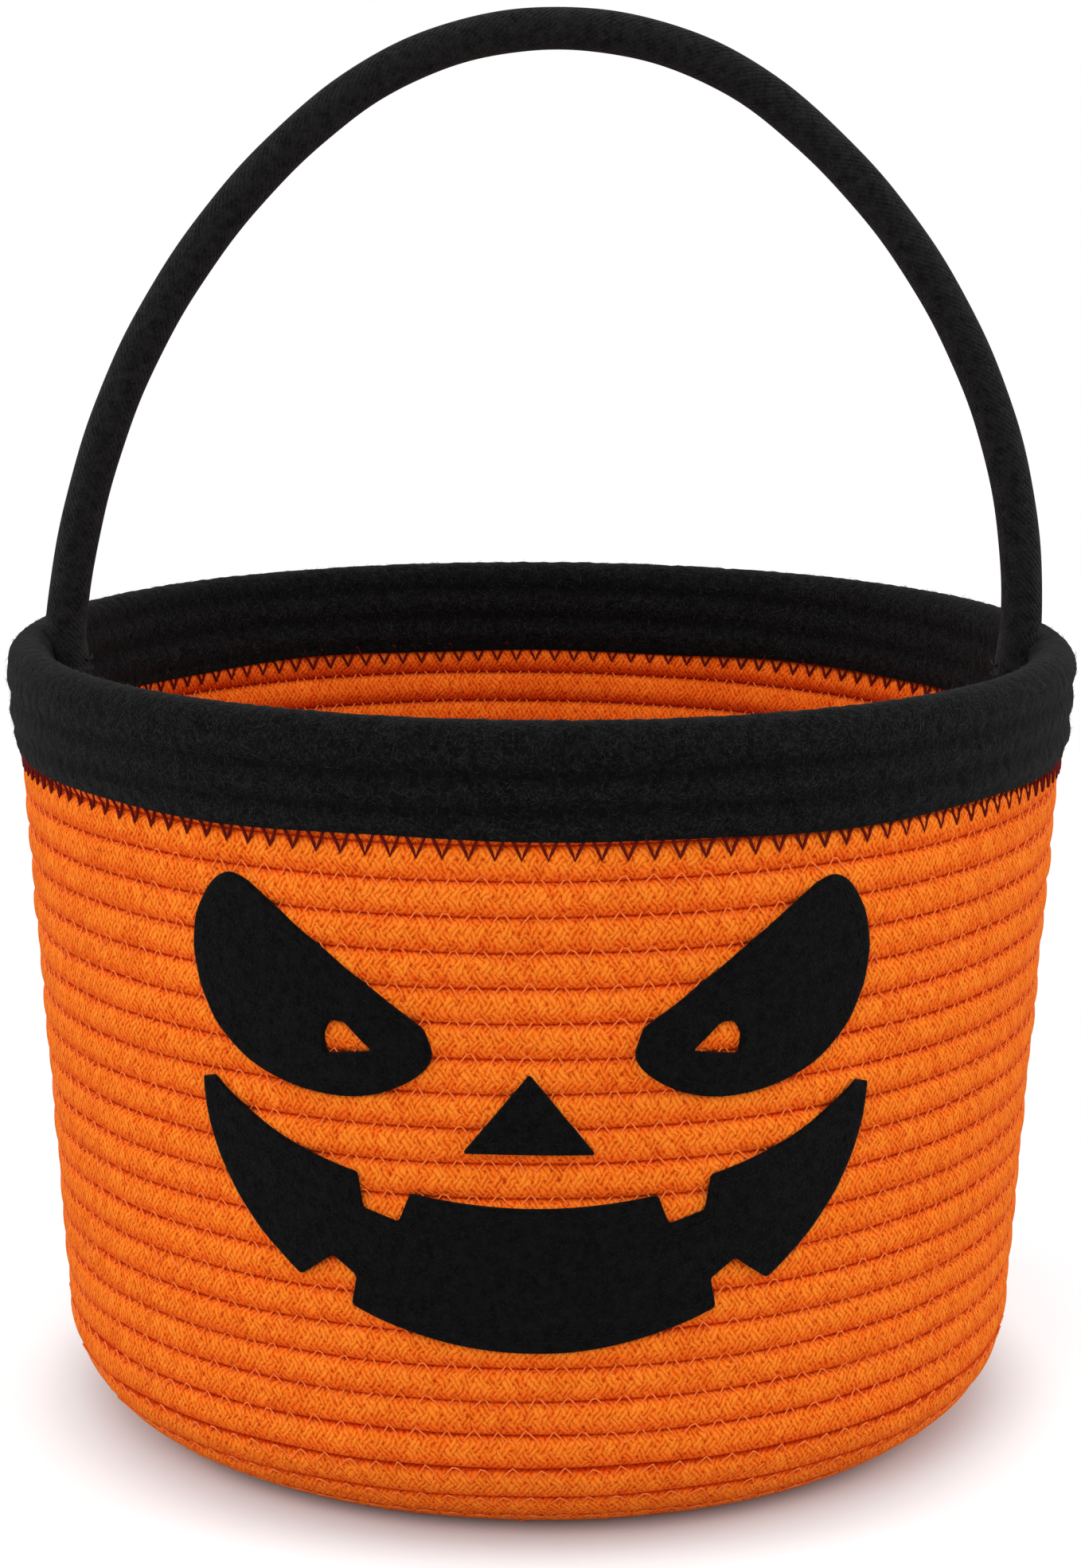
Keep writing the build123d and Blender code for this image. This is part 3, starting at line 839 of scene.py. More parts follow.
class BandForm:
    """Cloth folded over the rim, as a height over the rope's middle along the cloth's own width."""

    def __init__(self, settings):
        sizes, trim = settings.sizes, settings.trim
        self.form = WallForm(settings)
        self.trim, self.cloth = trim, sizes.cloth
        self.outside = self.form.below(sizes.pail_h - sizes.band_outside)
        self.inside = self.form.below(sizes.pail_h - sizes.band_inside)
        self.fold_r = self.form.band_r - sizes.cloth / 2
        self.width = self.outside + math.pi * self.fold_r + self.inside
        draw = np.random.default_rng(NAP_SEED)
        turn = draw.uniform(0, 2 * np.pi, NAP_WAVES)
        size = draw.uniform(*NAP_SPAN, NAP_WAVES) * MM
        self.waves_round = np.round(2 * np.pi * self.form.top_r * np.cos(turn) / size)
        self.waves_across = 2 * np.pi * np.sin(turn) / size
        self.waves_start = draw.uniform(0, 2 * np.pi, NAP_WAVES)

    def nap(self, w, around):
        """Uneven brushed surface: the sum of waves in seeded directions, brought to a height of about one.

        Each wave has a whole count of repeats round the rim.
        """
        w, around = np.broadcast_arrays(w, around)
        phase = around[..., None] * self.waves_round + w[..., None] * self.waves_across + self.waves_start
        return self.trim.nap * np.sin(phase).sum(-1) / NAP_LEVEL

    def over_rows(self, w, around):
        """How far the cloth stands over a row: 1 along its middle and 0 between rows, 0.8 over the rim."""
        over, down = self.folded(w)
        part = self.form.row_part(down, around)
        return np.cos(np.pi * part / 2) ** 1.4 * (1 - np.sin(over)) + 0.8 * np.sin(over)

    def folded(self, w):
        """Angle over the rim, and the length down from it, at each place across the cloth."""
        over = np.clip((w - self.outside) / self.fold_r, 0, np.pi)
        return over, np.maximum(self.outside - w, 0) + np.maximum(w - self.width + self.inside, 0)

    def surface(self, w, around, face):
        """Places on the cloth: w runs from the outside edge over the rim to the inside edge.

        Up the outside, over a half circle and down the inside. The face side swells over each row of rope
        and is drawn in a little along its seams; the back side stays at half the cloth's thickness. Both
        edges sag unevenly, in five waves and in eleven round the rim.
        """
        over, down = self.folded(w)
        edge = np.minimum(w, self.width - w)
        drawn = np.exp(-((edge - self.trim.seam_up) / SEAM_REACH) ** 2)
        pucker = 0.5 + 0.5 * np.cos(around * self.trim.repeats)
        swell = self.trim.swell + (self.trim.ridge - self.trim.swell) * smooth(over / np.pi)
        ridge = swell * self.over_rows(w, around)
        lift = self.cloth / 2 * np.minimum(1, EDGE_THIN + edge / EDGE_ROUND)
        if face > 0:
            lift = lift + ridge * smooth(edge / EDGE_FLAT) + self.nap(w, around)
            lift = lift - SEAM_PULL * drawn * pucker
        held = HELD_IN * (1 - smooth(edge / EDGE_HELD))
        reach = self.fold_r - held + face * lift
        below = down - reach * np.sin(over)
        sag = SAG * np.sin(around * 5 + 0.6) + SAG_FINE * np.sin(around * 11)
        below = below + sag * (1 - smooth(edge / EDGE_SAG)) * np.sign(down)
        return self.form.turned(below, reach * np.cos(over), around)


FIBRE_PLACES = np.array([0.0, 0.55, 1.0])  # where a fibre's rings are along it,
FIBRE_WIDTHS = np.array([1.0, 0.8, 0.25])  # and how thick it is there
FIBRE_SIDES = 3
FIBRE_SPAN = (0.02, 0.98)                  # part of the cloth's width that has fibres
FIBRE_STAND = (0.1, 0.75)                  # least and greatest measure of how far a fibre stands up,
FIBRE_GROWN = (0.4, 1.6)                   # and of its length, as a share of the usual one
FIBRE_CURL = 0.5                           # how far it bends aside at most, as a share of its length
FIBRE_SEED = 11
SURFACE_STEP = 0.2 * MM                    # step by which the cloth's slope is taken


class PAIL_OT_bind_rim(bpy.types.Operator):
    """Brushed black cloth folded over the rim, and the loose fibres that stand out of it."""
    bl_idname = "pail.bind_rim"
    bl_label = "Bind the rim"

    def execute(self, context):
        settings = context.scene.candy_pail
        trim = settings.trim
        band = BandForm(settings)
        lint, shade = times(0.4, trim.fuzz), times(1.4, trim.cloth)
        material = cloth_material("brushed_cloth", shade, lint, 0.022, ridges=True)
        around = angles(trim.repeats * trim.steps_round)[:, None]
        w = np.linspace(0, 1, trim.steps_wide)[None] * band.width
        w_back = np.linspace(1, 0, trim.steps_wide)[None] * band.width
        front, back = band.surface(w, around, 1), band.surface(w_back, around, -1)
        points = np.concatenate([front, back], axis=1)
        faces = outward(points.reshape(-1, 3), grid_faces(*points.shape[:2], wrap_rows=True))
        # the ridge value also drives the cloth's painted shade between its ridges
        ridge = band.over_rows(np.concatenate([w, w_back], axis=1), around)
        made = piece("rim_cloth", points, faces, material, marks={"ridge": ridge})
        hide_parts("rim_band")
        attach(made, "basket")
        self.fibres(trim, band)
        return {"FINISHED"}

    def fibres(self, trim, band):
        """Short fibres on the cloth: each starts on the surface, leans out a little and bends over.

        Each is a thin three-sided spike of three rings, placed by a seeded draw.
        """
        draw = np.random.default_rng(FIBRE_SEED)
        count = trim.fibres
        w = draw.uniform(*FIBRE_SPAN, count) * band.width
        around = draw.uniform(0, 2 * np.pi, count)
        root = band.surface(w, around, 1)
        across = unit(band.surface(w, around + SURFACE_STEP / band.form.top_r, 1) - root)
        along = unit(band.surface(w + SURFACE_STEP, around, 1) - root)
        out = np.cross(across, along)
        out *= np.sign((out * (root - band.surface(w, around, -1))).sum(-1, keepdims=True))
        spin = draw.uniform(0, 2 * np.pi, count)[:, None]
        flat = np.cos(spin) * across + np.sin(spin) * along
        stand = draw.uniform(*FIBRE_STAND, count)[:, None] ** 1.5
        long = trim.fibre_long * draw.uniform(*FIBRE_GROWN, count)[:, None]
        t = FIBRE_PLACES[:, None, None]
        curl = draw.uniform(-FIBRE_CURL, FIBRE_CURL, count)[:, None] * np.cross(out, flat)
        path = root + long * (t * flat + t * (1.25 - 0.5 * t) * stand * out + t * t * curl)
        turn = angles(FIBRE_SIDES)
        thin = FIBRE_WIDTHS[:, None, None, None] * trim.fibre_d / 2
        second = np.cross(flat, out)
        ring = np.cos(turn)[None, :, None] * out[:, None] + np.sin(turn)[None, :, None] * second[:, None]
        points = path[:, :, None] + thin * ring
        points = points.transpose(1, 0, 2, 3).reshape(-1, 3)
        faces, caps = many_tubes(count, len(FIBRE_PLACES), FIBRE_SIDES)
        m = Shader("cloth_fibres")
        hair = m.noise(300.0, 2.0)
        shade = m.ramp(hair, (0.3, times(0.4, trim.fuzz)), (0.7, tuple(trim.fuzz)))
        material = m.finish(shade, m.bump(hair, 0.02 * MM), 0.9)
        made = piece("rim_fibres", points, outward(points, faces), material, caps=caps)
        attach(made, "basket")


SEAM_STEPS = 10        # points along one V stitch
SEAM_SIDES = 6         # points round its thread
SEAM_SUNK = 0.65 * MM  # how far the thread's middle lies below the cloth's plain height,
SEAM_OVER = 0.2 * MM   # how far over the rope,
SEAM_LEAST = 0.9       # and how far out at least over a groove, as a share of the rope's radius


class PAIL_OT_sew_rim(bpy.types.Operator):
    """Dark zigzag that holds the cloth's two edges to the rope, with its points below the edge."""
    bl_idname = "pail.sew_rim"
    bl_label = "Sew the rim"

    def execute(self, context):
        settings = context.scene.candy_pail
        band = BandForm(settings)
        material = thread_material("rim_thread", settings.trim.seam)
        trim = settings.trim
        for name, edge, side, down in (("rim_seam", band.outside, 1, trim.seam_down),
                                       ("inside_rim_seam", band.inside, -1, trim.inside_down)):
            made = self.seam(name, band, edge, side, down, material)
            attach(made, "basket")
        return {"FINISHED"}

    def seam(self, name, band, edge, side, down, material):
        """A closed zigzag round the pail: a triangle wave from the cloth down onto the rope and back.

        On the cloth it lies on the swell. Below the edge it goes down to the rows' own height.
        """
        trim, form = band.trim, band.form
        around = angles(trim.repeats * SEAM_STEPS)
        wave = 2 * np.abs(2 * (around * trim.repeats / (2 * np.pi) % 1) - 1) - 1
        drop = (down - trim.seam_up) / 2 - (down + trim.seam_up) / 2 * wave
        below = edge + drop
        on_cloth = form.band_r - SEAM_SUNK
        on_rope = np.maximum(form.row_height(below, around), SEAM_LEAST * form.rope_r) + SEAM_OVER
        offset = on_cloth + (on_rope - on_cloth) * smooth(0.5 + drop / down)
        path = form.turned(below, side * offset, around)
        closed = np.concatenate([path[-2:], path, path[:2]])
        along = unit(np.gradient(closed, axis=0))[2:-2]
        lead = form.turned(below, side * (offset + MM), around) - path
        points = swept(path, lead, trim.seam_d / 2, SEAM_SIDES, along)
        faces = grid_faces(*points.shape[:2], wrap_rows=True)
        return piece(name, points, outward(points.reshape(-1, 3), faces), material)


ARC_STEPS = 400        # points on each arc of the handle before they are spaced evenly,
TAIL_STEPS = 120       # and on each tail
LEAN_START = 5.0 * MM  # how far below the fold the handle begins to lean,
LEAN_RUN = 45.0 * MM   # and the height within which most of the lean is reached


class HandleForm:
    """The handle's middle line, from one tail's foot over the crown to the other's."""

    def __init__(self, settings):
        sizes, hand = settings.sizes, settings.handle
        self.hand = hand
        self.spring_z = sizes.pail_h - hand.span_drop
        half = sizes.rim_d / 2 - hand.inset
        crown_z = CROWN_TOP - hand.sleeve_d / 2
        rise = crown_z - self.spring_z
        crown_r = hand.crown_r
        self.side_r = (half ** 2 + rise ** 2 - 2 * rise * crown_r) / (2 * (half - crown_r))
        self.side_x = half - self.side_r
        self.crown_c = crown_z - crown_r
        self.change = math.atan2(self.crown_c - self.spring_z, -self.side_x)
        self.tail_x = sizes.rim_d / 2 - hand.tail_in
        self.foot_z = sizes.pail_h - hand.tail_depth

    def right_side(self, lowest):
        """Right half from a height up to the crown: a tail, a side arc and half of the crown's arc."""
        low = math.asin((FOLD_Z - self.spring_z) / self.side_r)
        side = np.linspace(low, self.change, ARC_STEPS)
        crown = np.linspace(self.change, np.pi / 2, ARC_STEPS)[1:]
        side_x = self.side_x + self.side_r * np.cos(side)
        tail_z = np.linspace(self.foot_z, FOLD_Z, TAIL_STEPS)[:-1]
        part = smooth(1 - (FOLD_Z - tail_z) / self.hand.slope)
        tail_x = self.tail_x + (side_x[0] - self.tail_x) * part
        x = np.concatenate([tail_x, side_x, self.hand.crown_r * np.cos(crown)])
        z = np.concatenate([tail_z, self.spring_z + self.side_r * np.sin(side),
                            self.crown_c + self.hand.crown_r * np.sin(crown)])
        return x[z >= lowest], z[z >= lowest]

    def line(self, lowest, step):
        """Evenly spaced places from the right foot over the crown to the left foot, and the length to each.

        The lean grows with the height over the fold, fast at first, towards its full measure.
        """
        x, z = self.right_side(lowest)
        x, z = np.concatenate([x, -x[-2::-1]]), np.concatenate([z, z[-2::-1]])
        run = run_along(np.stack([x, z], -1))
        spots = np.linspace(0, run[-1], round(run[-1] / step) + 1)
        x, z = np.interp(spots, run, x), np.interp(spots, run, z)
        x = x + self.hand.lean * (1 - np.exp(-np.maximum(z - FOLD_Z + LEAN_START, 0) / LEAN_RUN))
        return np.stack([x, 0 * x, z], -1), spots


TAIL_SQUARE = 0.8     # how much squarer a tail's section is than an ellipse, by its power
SIDE_LUMP = 0.012     # how lumpy the sleeve is to either side, as a share of its radius,
SIDE_WAVE = 9.0 * MM  # in a wave along it, by its length for each radian
RING_LUMP = 0.008     # and how lumpy all round
RING_WAVE = 3.7 * MM
CORE_STRANDS = 3
CORE_GROOVE = 0.1     # depth between the core's strands, as a share of its radius
TACK_ROWS = 5         # stitches that hold each tail,
TACK_FOOT = 5.0 * MM  # the lowest one's height over the tail's foot,
TACK_HEAD = 9.0 * MM  # the highest one's depth below the fold,
TACK_HALF = 3.6 * MM  # half of a stitch's length,
TACK_OVER = 0.03      # how far its middle stands out, as a share of half the tail's thickness,
TACK_DIVE = 0.5 * MM  # how far its ends dive into the cloth,
TACK_STEPS = 7        # and the points along it


class PAIL_OT_make_handle(bpy.types.Operator):
    """Rope handle in a twill sleeve: one tube, flattened where its two tails are sewn inside the rim."""
    bl_idname = "pail.make_handle"
    bl_label = "Make the handle"

    def execute(self, context):
        settings = context.scene.candy_pail
        hand, trim = settings.handle, settings.trim
        form = HandleForm(settings)
        made = self.sleeve(form, hand, trim)
        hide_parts("handle_sleeve", "handle_tail_left", "handle_tail_right")
        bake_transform(made)
        core = self.core(form, hand)
        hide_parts("handle_core")
        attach(core, "handle")
        tacks = self.tacks(form, hand, trim)
        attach(tacks, "basket")
        return {"FINISHED"}

    def sleeve(self, form, hand, trim):
        """Round tube over the arch that goes over into a flat oval below the fold, with rounded feet.

        Two faint waves along it make it a little lumpy.
        """
        path, run = form.line(form.foot_z, hand.step)
        along = unit(np.gradient(path, axis=0))
        across = BACK + 0 * along
        outer = np.cross(across, along)
        flat = smooth((FOLD_Z + MM - path[:, 2]) / hand.slope)
        radius = hand.sleeve_d / 2
        deep = radius + (hand.tail_thick / 2 - radius) * flat
        wide = radius + (hand.tail_wide / 2 - radius) * flat
        near_end = np.minimum(run, run[-1] - run)
        close = np.sqrt(1 - (1 - np.clip(near_end / hand.foot_round, 0.01, 1)) ** 2)
        turn = angles(hand.sides)
        power = 2 + TAIL_SQUARE * flat[:, None]
        c, s = np.cos(turn)[None], np.sin(turn)[None]
        bulge = (np.abs(c) ** power + np.abs(s) ** power) ** (-1 / power)
        lumps = 1 + SIDE_LUMP * np.sin(run / SIDE_WAVE)[:, None] * np.cos(turn + 1.0)
        lumps = lumps + RING_LUMP * np.sin(run / RING_WAVE + 2)[:, None]
        bulge = bulge * lumps * close[:, None]
        ring = (bulge * c * deep[:, None])[..., None] * outer[:, None]
        ring = ring + (bulge * s * wide[:, None])[..., None] * across[:, None]
        points = path[:, None] + ring
        faces, caps = grid_faces(len(path), hand.sides), end_caps(len(path), hand.sides)
        uv = grid_uv(run / MM, turn / (2 * np.pi), wrap_v=1.0)
        weave = hand.rib_turn, 2 * math.pi * hand.ribs
        material = cloth_material("sleeve_twill", hand.cloth, times(0.4, trim.fuzz), 0.05, weave)
        return piece("handle_sleeve_cloth", points, faces, material, {"lay": uv}, caps)

    def core(self, form, hand):
        """Three-strand rope inside the sleeve: a tube whose radius has three lobes that twist along it."""
        path, run = form.line(FOLD_Z + hand.core_lift, hand.core_step)
        along = unit(np.gradient(path, axis=0))
        across = BACK + 0 * along
        outer = np.cross(across, along)
        turn = angles(hand.core_sides)
        twisted = CORE_STRANDS / 2 * (turn[None] + run[:, None] / hand.core_twist)
        radius = hand.core_d / 2 * (1 - CORE_GROOVE * (1 - np.abs(np.cos(twisted))))
        ring = np.cos(turn)[None, :, None] * outer[:, None] + np.sin(turn)[None, :, None] * across[:, None]
        points = path[:, None] + radius[..., None] * ring
        m = Shader("cotton_core")
        hair = m.noise(900.0, 4.0)
        shade = m.ramp(hair, (0.3, times(0.8, hand.core)), (0.7, tuple(hand.core)))
        material = m.finish(shade, m.bump(hair, 0.2 * MM), 0.9)
        faces, caps = grid_faces(len(path), hand.core_sides), end_caps(len(path), hand.core_sides)
        return piece("handle_core_rope", points, faces, material, caps=caps)

    def tacks(self, form, hand, trim):
        """Rows of short level stitches that hold each tail to the rim, on the tail's inner face."""
        rows = np.linspace(form.foot_z + TACK_FOOT, FOLD_Z - TACK_HEAD, TACK_ROWS)
        sides = np.array([-1.0, 1.0])
        t = np.linspace(-1, 1, TACK_STEPS)
        z = np.repeat(rows, 2)
        side = np.tile(sides, len(rows))
        y = TACK_HALF * t
        depth = hand.tail_thick / 2 * (1 + TACK_OVER * (1 - t ** 4)) - TACK_DIVE * np.abs(t) ** 6
        x = side[:, None] * (form.tail_x - depth[None])
        path = np.stack([x, y[None] + 0 * x, z[:, None] + 0 * x], -1)
        lead = np.stack([-side, 0 * side, 0 * side], -1)
        material = thread_material("tack_thread", trim.cloth)
        return stitches("handle_tacks", path, lead, trim.seam_d / 2, material)


STITCH_SIDES = 5  # points round a single stitch


def stitches(name, paths, lead, radius, material):
    """Many short closed tubes in one piece, all with as many points."""
    points = swept(paths, lead[:, None], radius, STITCH_SIDES).reshape(-1, 3)
    faces, caps = many_tubes(*paths.shape[:2], STITCH_SIDES)
    return piece(name, points, outward(points, faces), material, caps=caps)


def spline(points, count):
    """Natural cubic through points, spaced by chord length: second derivatives from one linear system."""
    p = np.asarray(points, float)
    h = np.linalg.norm(np.diff(p, axis=0), axis=1)
    n = len(p)
    system, right = np.eye(n), np.zeros((n, 2))
    for i in range(1, n - 1):
        system[i, i - 1:i + 2] = h[i - 1], 2 * (h[i - 1] + h[i]), h[i]
        right[i] = 6 * ((p[i + 1] - p[i]) / h[i] - (p[i] - p[i - 1]) / h[i - 1])
    second = np.linalg.solve(system, right)
    knots = np.concatenate([[0], np.cumsum(h)])
    t = np.linspace(0, knots[-1], count)
    k = np.clip(np.searchsorted(knots, t, side="right") - 1, 0, n - 2)
    a, b = ((knots[k + 1] - t) / h[k])[:, None], ((t - knots[k]) / h[k])[:, None]
    bend = ((a ** 3 - a) * second[k] + (b ** 3 - b) * second[k + 1]) * (h[k] ** 2)[:, None] / 6
    return a * p[k] + b * p[k + 1] + bend


ARC_POINTS = 60  # points along an arc


def arc(start, through, end):
    """Places along the circle through three points, evenly by angle."""
    a, b, c = (complex(*p) for p in (start, through, end))
    w = (c - a) / (b - a)
    centre = a + (b - a) * (w - abs(w) ** 2) / (2j * w.imag)
    turn = np.angle((c - centre) / (a - centre))
    middle = np.angle((b - centre) / (a - centre))
    if turn * middle < 0:
        turn -= math.copysign(2 * math.pi, turn)
    spots = centre + (a - centre) * np.exp(1j * turn * np.linspace(0, 1, ARC_POINTS))
    return np.stack([spots.real, spots.imag], -1)


FINE = 4000  # points on a line while its corners are rounded


def even(points, count, closed=False, rounding=0.0):
    """A line of points spaced evenly along its length, with its corners rounded by a moving average."""
    p = np.concatenate([points, points[:1]]) if closed else np.asarray(points, float)
    run = run_along(p)
    keep = np.concatenate([[True], np.diff(run) > 0])
    p, run = p[keep], run[keep]
    spots = np.linspace(0, run[-1], FINE, endpoint=not closed)
    line = np.stack([np.interp(spots, run, p[:, k]) for k in (0, 1)], -1)
    reach = int(round(rounding / run[-1] * FINE))
    if reach:
        way = {"mode": "wrap"} if closed else {"mode": "reflect", "reflect_type": "odd"}
        wide = np.pad(line, ((reach, reach), (0, 0)), **way)
        total = np.cumsum(np.concatenate([np.zeros((1, 2)), wide]), axis=0)
        line = (total[2 * reach + 1:] - total[:-2 * reach - 1]) / (2 * reach + 1)
    pick = np.linspace(0, FINE if closed else FINE - 1, count, endpoint=not closed).astype(int)
    return line[pick]


def inside_area(points):
    """Area inside a closed outline by the shoelace sum, below zero where the outline runs clockwise."""
    x, z = points[:, 0], points[:, 1]
    return (x * np.roll(z, -1) - z * np.roll(x, -1)).sum() / 2


# Each eye: its name, its side, its share of the full width, and its shift right and up in millimetres
EYES = (("left_eye", -1, 1.0, (-1.35, -0.6)), ("right_eye", 1, 0.963, (0.0, 0.0)))
NOSE_SHIFT = (-1.0, -0.8)
# Points across each felt and along its outlines
EYE_ROWS, NOSE_ROWS, MOUTH_ROWS = 22, 12, 34
EYE_POINTS, NOSE_POINTS, MOUTH_POINTS = 360, 240, 640
NOSE_START = 0.02        # size of the nose's innermost row of points, as a share of its outline
CURVE_POINTS = 600       # points of the curve below an eye
MOUTH_SEAM = 1200        # points of the mouth's whole outline, for its stitches
FELT_EDGE = 0.55         # thickness of the felt at its cut edge, as a share of its full one
FELT_ROUND = 0.6         # radius of that edge, as a share of the thickness
FELT_SINK = 0.6          # part of the drape by which each face of the felt sinks into a groove
CURL = 0.25 * MM         # how far the free edge lifts,
CURL_REACH = 1.6 * MM    # how far in from the edge,
CURL_ACROSS = 6.1 * MM   # and how it wanders, in length for each radian across
CURL_UP = 7.3 * MM       # and up
STITCH_OVER = 0.04 * MM  # how far a felt stitch's middle lies over the felt,
STITCH_DIVE = 0.3 * MM   # how far its ends dive in,
FELT_STEPS = 7           # and the points along it
DIRECTION_REACH = 12     # points to either side that give an outline's direction


class PAIL_OT_cut_face(bpy.types.Operator):
    """Felt eyes, nose and mouth, cut to their outlines, laid over the rows and sewn along their edges."""
    bl_idname = "pail.cut_face"
    bl_label = "Cut the face"

    def execute(self, context):
        settings = context.scene.candy_pail
        self.look, self.form = settings.face, WallForm(settings)
        look = self.look
        self.felt = cloth_material("pressed_felt", look.cloth, times(0.15, settings.trim.fuzz), 0.015)
        self.thread = thread_material("felt_thread", settings.trim.cloth)
        self.thread_r = settings.rope.thread_d / 2
        eye = self.eye()
        hole = self.pupil()
        size = look.eye_wide, look.eye_tall
        area = abs(inside_area(eye)) - abs(inside_area(hole))
        for name, flip, wide, shift in EYES:
            shift = np.multiply(shift, MM)
            sheet = self.between(hole, eye, EYE_ROWS) * [flip * wide, 1] + shift
            self.lay_down(name, sheet, EYE_FOOT, flip * look.eye_around, size, area, closed=True)
            self.sew(name, eye * [flip * wide, 1] + shift, EYE_FOOT, flip * look.eye_around)
        nose = self.nose() + np.multiply(NOSE_SHIFT, MM)
        middle = 0 * nose + nose.mean(0)
        sheet = self.between(middle + (nose - middle) * NOSE_START, nose, NOSE_ROWS)
        size = look.nose_wide, look.nose_tall
        self.lay_down("nose", sheet, NOSE_FOOT, 0.0, size, abs(inside_area(nose)), closed=True)
        self.sew("nose", nose, NOSE_FOOT, 0.0)
        lower, upper = self.mouth()
        rim = np.concatenate([lower, upper[::-1]])
        sheet = self.between(lower, upper, MOUTH_ROWS)
        size = look.mouth_wide, look.mouth_tall
        self.lay_down("mouth", sheet, MOUTH_FOOT, 0.0, size, abs(inside_area(rim)))
        self.sew("mouth", even(rim, MOUTH_SEAM, closed=True), MOUTH_FOOT, 0.0)
        return {"FINISHED"}

    def eye(self):
        """Slanted half moon: a straight brow, and one smooth curve round below it."""
        size = np.array([self.look.eye_wide, self.look.eye_tall])
        brow = np.array([(-0.455, 0.348), (0.244, 0.968)])
        below = np.array([(0.244, 0.968), (0.338, 1.0), (0.448, 0.896), (0.516, 0.671), (0.390, 0.229),
                          (-0.036, 0.004), (-0.370, 0.074), (-0.484, 0.219), (-0.455, 0.348)])
        outline = np.concatenate([brow * size, spline(below * size, CURVE_POINTS)[1:-1]])
        return even(outline, EYE_POINTS, closed=True, rounding=self.look.corner)

    def pupil(self):
        """Small five-cornered hole, started at the corner that faces the brow's inner end."""
        size = np.array([self.look.eye_wide, self.look.eye_tall])
        corners = np.array([(-0.260, 0.226), (-0.150, 0.356), (-0.088, 0.358), (-0.060, 0.294),
                            (-0.066, 0.198)])
        return even(corners * size, EYE_POINTS, closed=True, rounding=1.5 * self.look.corner)

    def nose(self):
        """Upright triangle, started at its lower left corner."""
        half, tall = self.look.nose_wide / 2, self.look.nose_tall
        corners = np.array([(-half, 0), (0, tall), (half, 0)])
        return even(corners, NOSE_POINTS, closed=True, rounding=self.look.corner)

    def mouth(self):
        """Lower and upper edges of the grin from left to right, two teeth on each."""
        size = np.array([self.look.mouth_wide / 2, self.look.mouth_tall])
        lower = [arc((0, 0), (0.287, 0.039), (0.545, 0.156)), [(0.529, 0.276), (0.602, 0.348)],
                 arc((0.700, 0.249), (0.924, 0.599), (1.0, 0.984))]
        upper = [arc((0, 0.584), (0.182, 0.595), (0.367, 0.627)), [(0.401, 0.509), (0.507, 0.554)],
                 arc((0.524, 0.695), (0.756, 0.806), (0.961, 1.0))]
        edges = []
        for parts in (lower, upper):
            half = np.concatenate(parts) * size
            full = np.concatenate([half[:0:-1] * [-1, 1], half])
            edges.append(even(full, MOUTH_POINTS, rounding=self.look.corner))
        return edges

    def between(self, inner, outer, steps):
        """Rows of points from one line to another, closer together near both."""
        t = (1 - np.cos(np.pi * np.linspace(0, 1, steps))) / 2
        return inner[None] + t[:, None, None] * (outer - inner)[None]

    def lay_down(self, name, sheet, foot, around, size, area, closed=False):
        """Felt over a pattern's grid: a front and a back surface joined along the cut edges.

        The front is the felt's thickness over the back, rounded off by a quarter circle at its edges, and
        both sink a little into the grooves between the rows.
        """
        look, form = self.look, self.form
        rows, columns = sheet.shape[:2]
        span = np.linalg.norm(np.diff(sheet, axis=0), axis=-1)
        run = np.concatenate([np.zeros((1, columns)), np.cumsum(span, axis=0)])
        edge = np.minimum(run, run[-1] - run)
        if not closed:
            sideways = np.arange(columns) / columns * look.mouth_wide
            edge = np.minimum(edge, np.minimum(sideways, sideways[::-1])[None])
        rounded = np.sqrt(1 - (1 - np.clip(edge / (FELT_ROUND * look.felt), 0, 1)) ** 2)
        x, z = sheet[..., 0], sheet[..., 1] + foot
        turn = np.arctan2(-1.0, x / form.top_r) + around
        groove = 0.5 - 0.5 * np.cos(np.pi * form.row_part(form.below(z), turn))
        sink = FELT_SINK * look.drape * groove
        back = look.lift - sink
        thick = look.felt * (FELT_EDGE + (1 - FELT_EDGE) * rounded)
        front = back + thick - sink + self.curl(x, z, edge)
        points = np.stack([form.laid(x, z, back, around), form.laid(x, z, front, around)])
        ring = np.concatenate([points[0], points[1][::-1]])
        faces = grid_faces(2 * rows, columns, wrap_rows=True, wrap_columns=closed)
        if not closed:
            faces = np.concatenate([faces, self.side_faces(rows, columns)])
        faces = outward(ring.reshape(-1, 3), faces)
        made = piece(name + "_felt", ring, faces, self.felt)
        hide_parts(name)
        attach(made, "basket")

    def curl(self, x, z, edge):
        """Slight lift of the free edge that wanders along it."""
        wander = 0.5 + 0.5 * np.sin(x / CURL_ACROSS + 1.7 * np.sin(z / CURL_UP))
        return CURL * wander * np.exp(-edge / CURL_REACH)

    def side_faces(self, rows, columns):
        """Quads that close the two short ends of a folded-round grid."""
        i = np.arange(rows - 1)
        left = np.stack([i, i + 1, 2 * rows - 2 - i, 2 * rows - 1 - i], -1) * columns
        right = left[:, ::-1] + columns - 1
        return np.concatenate([left, right])

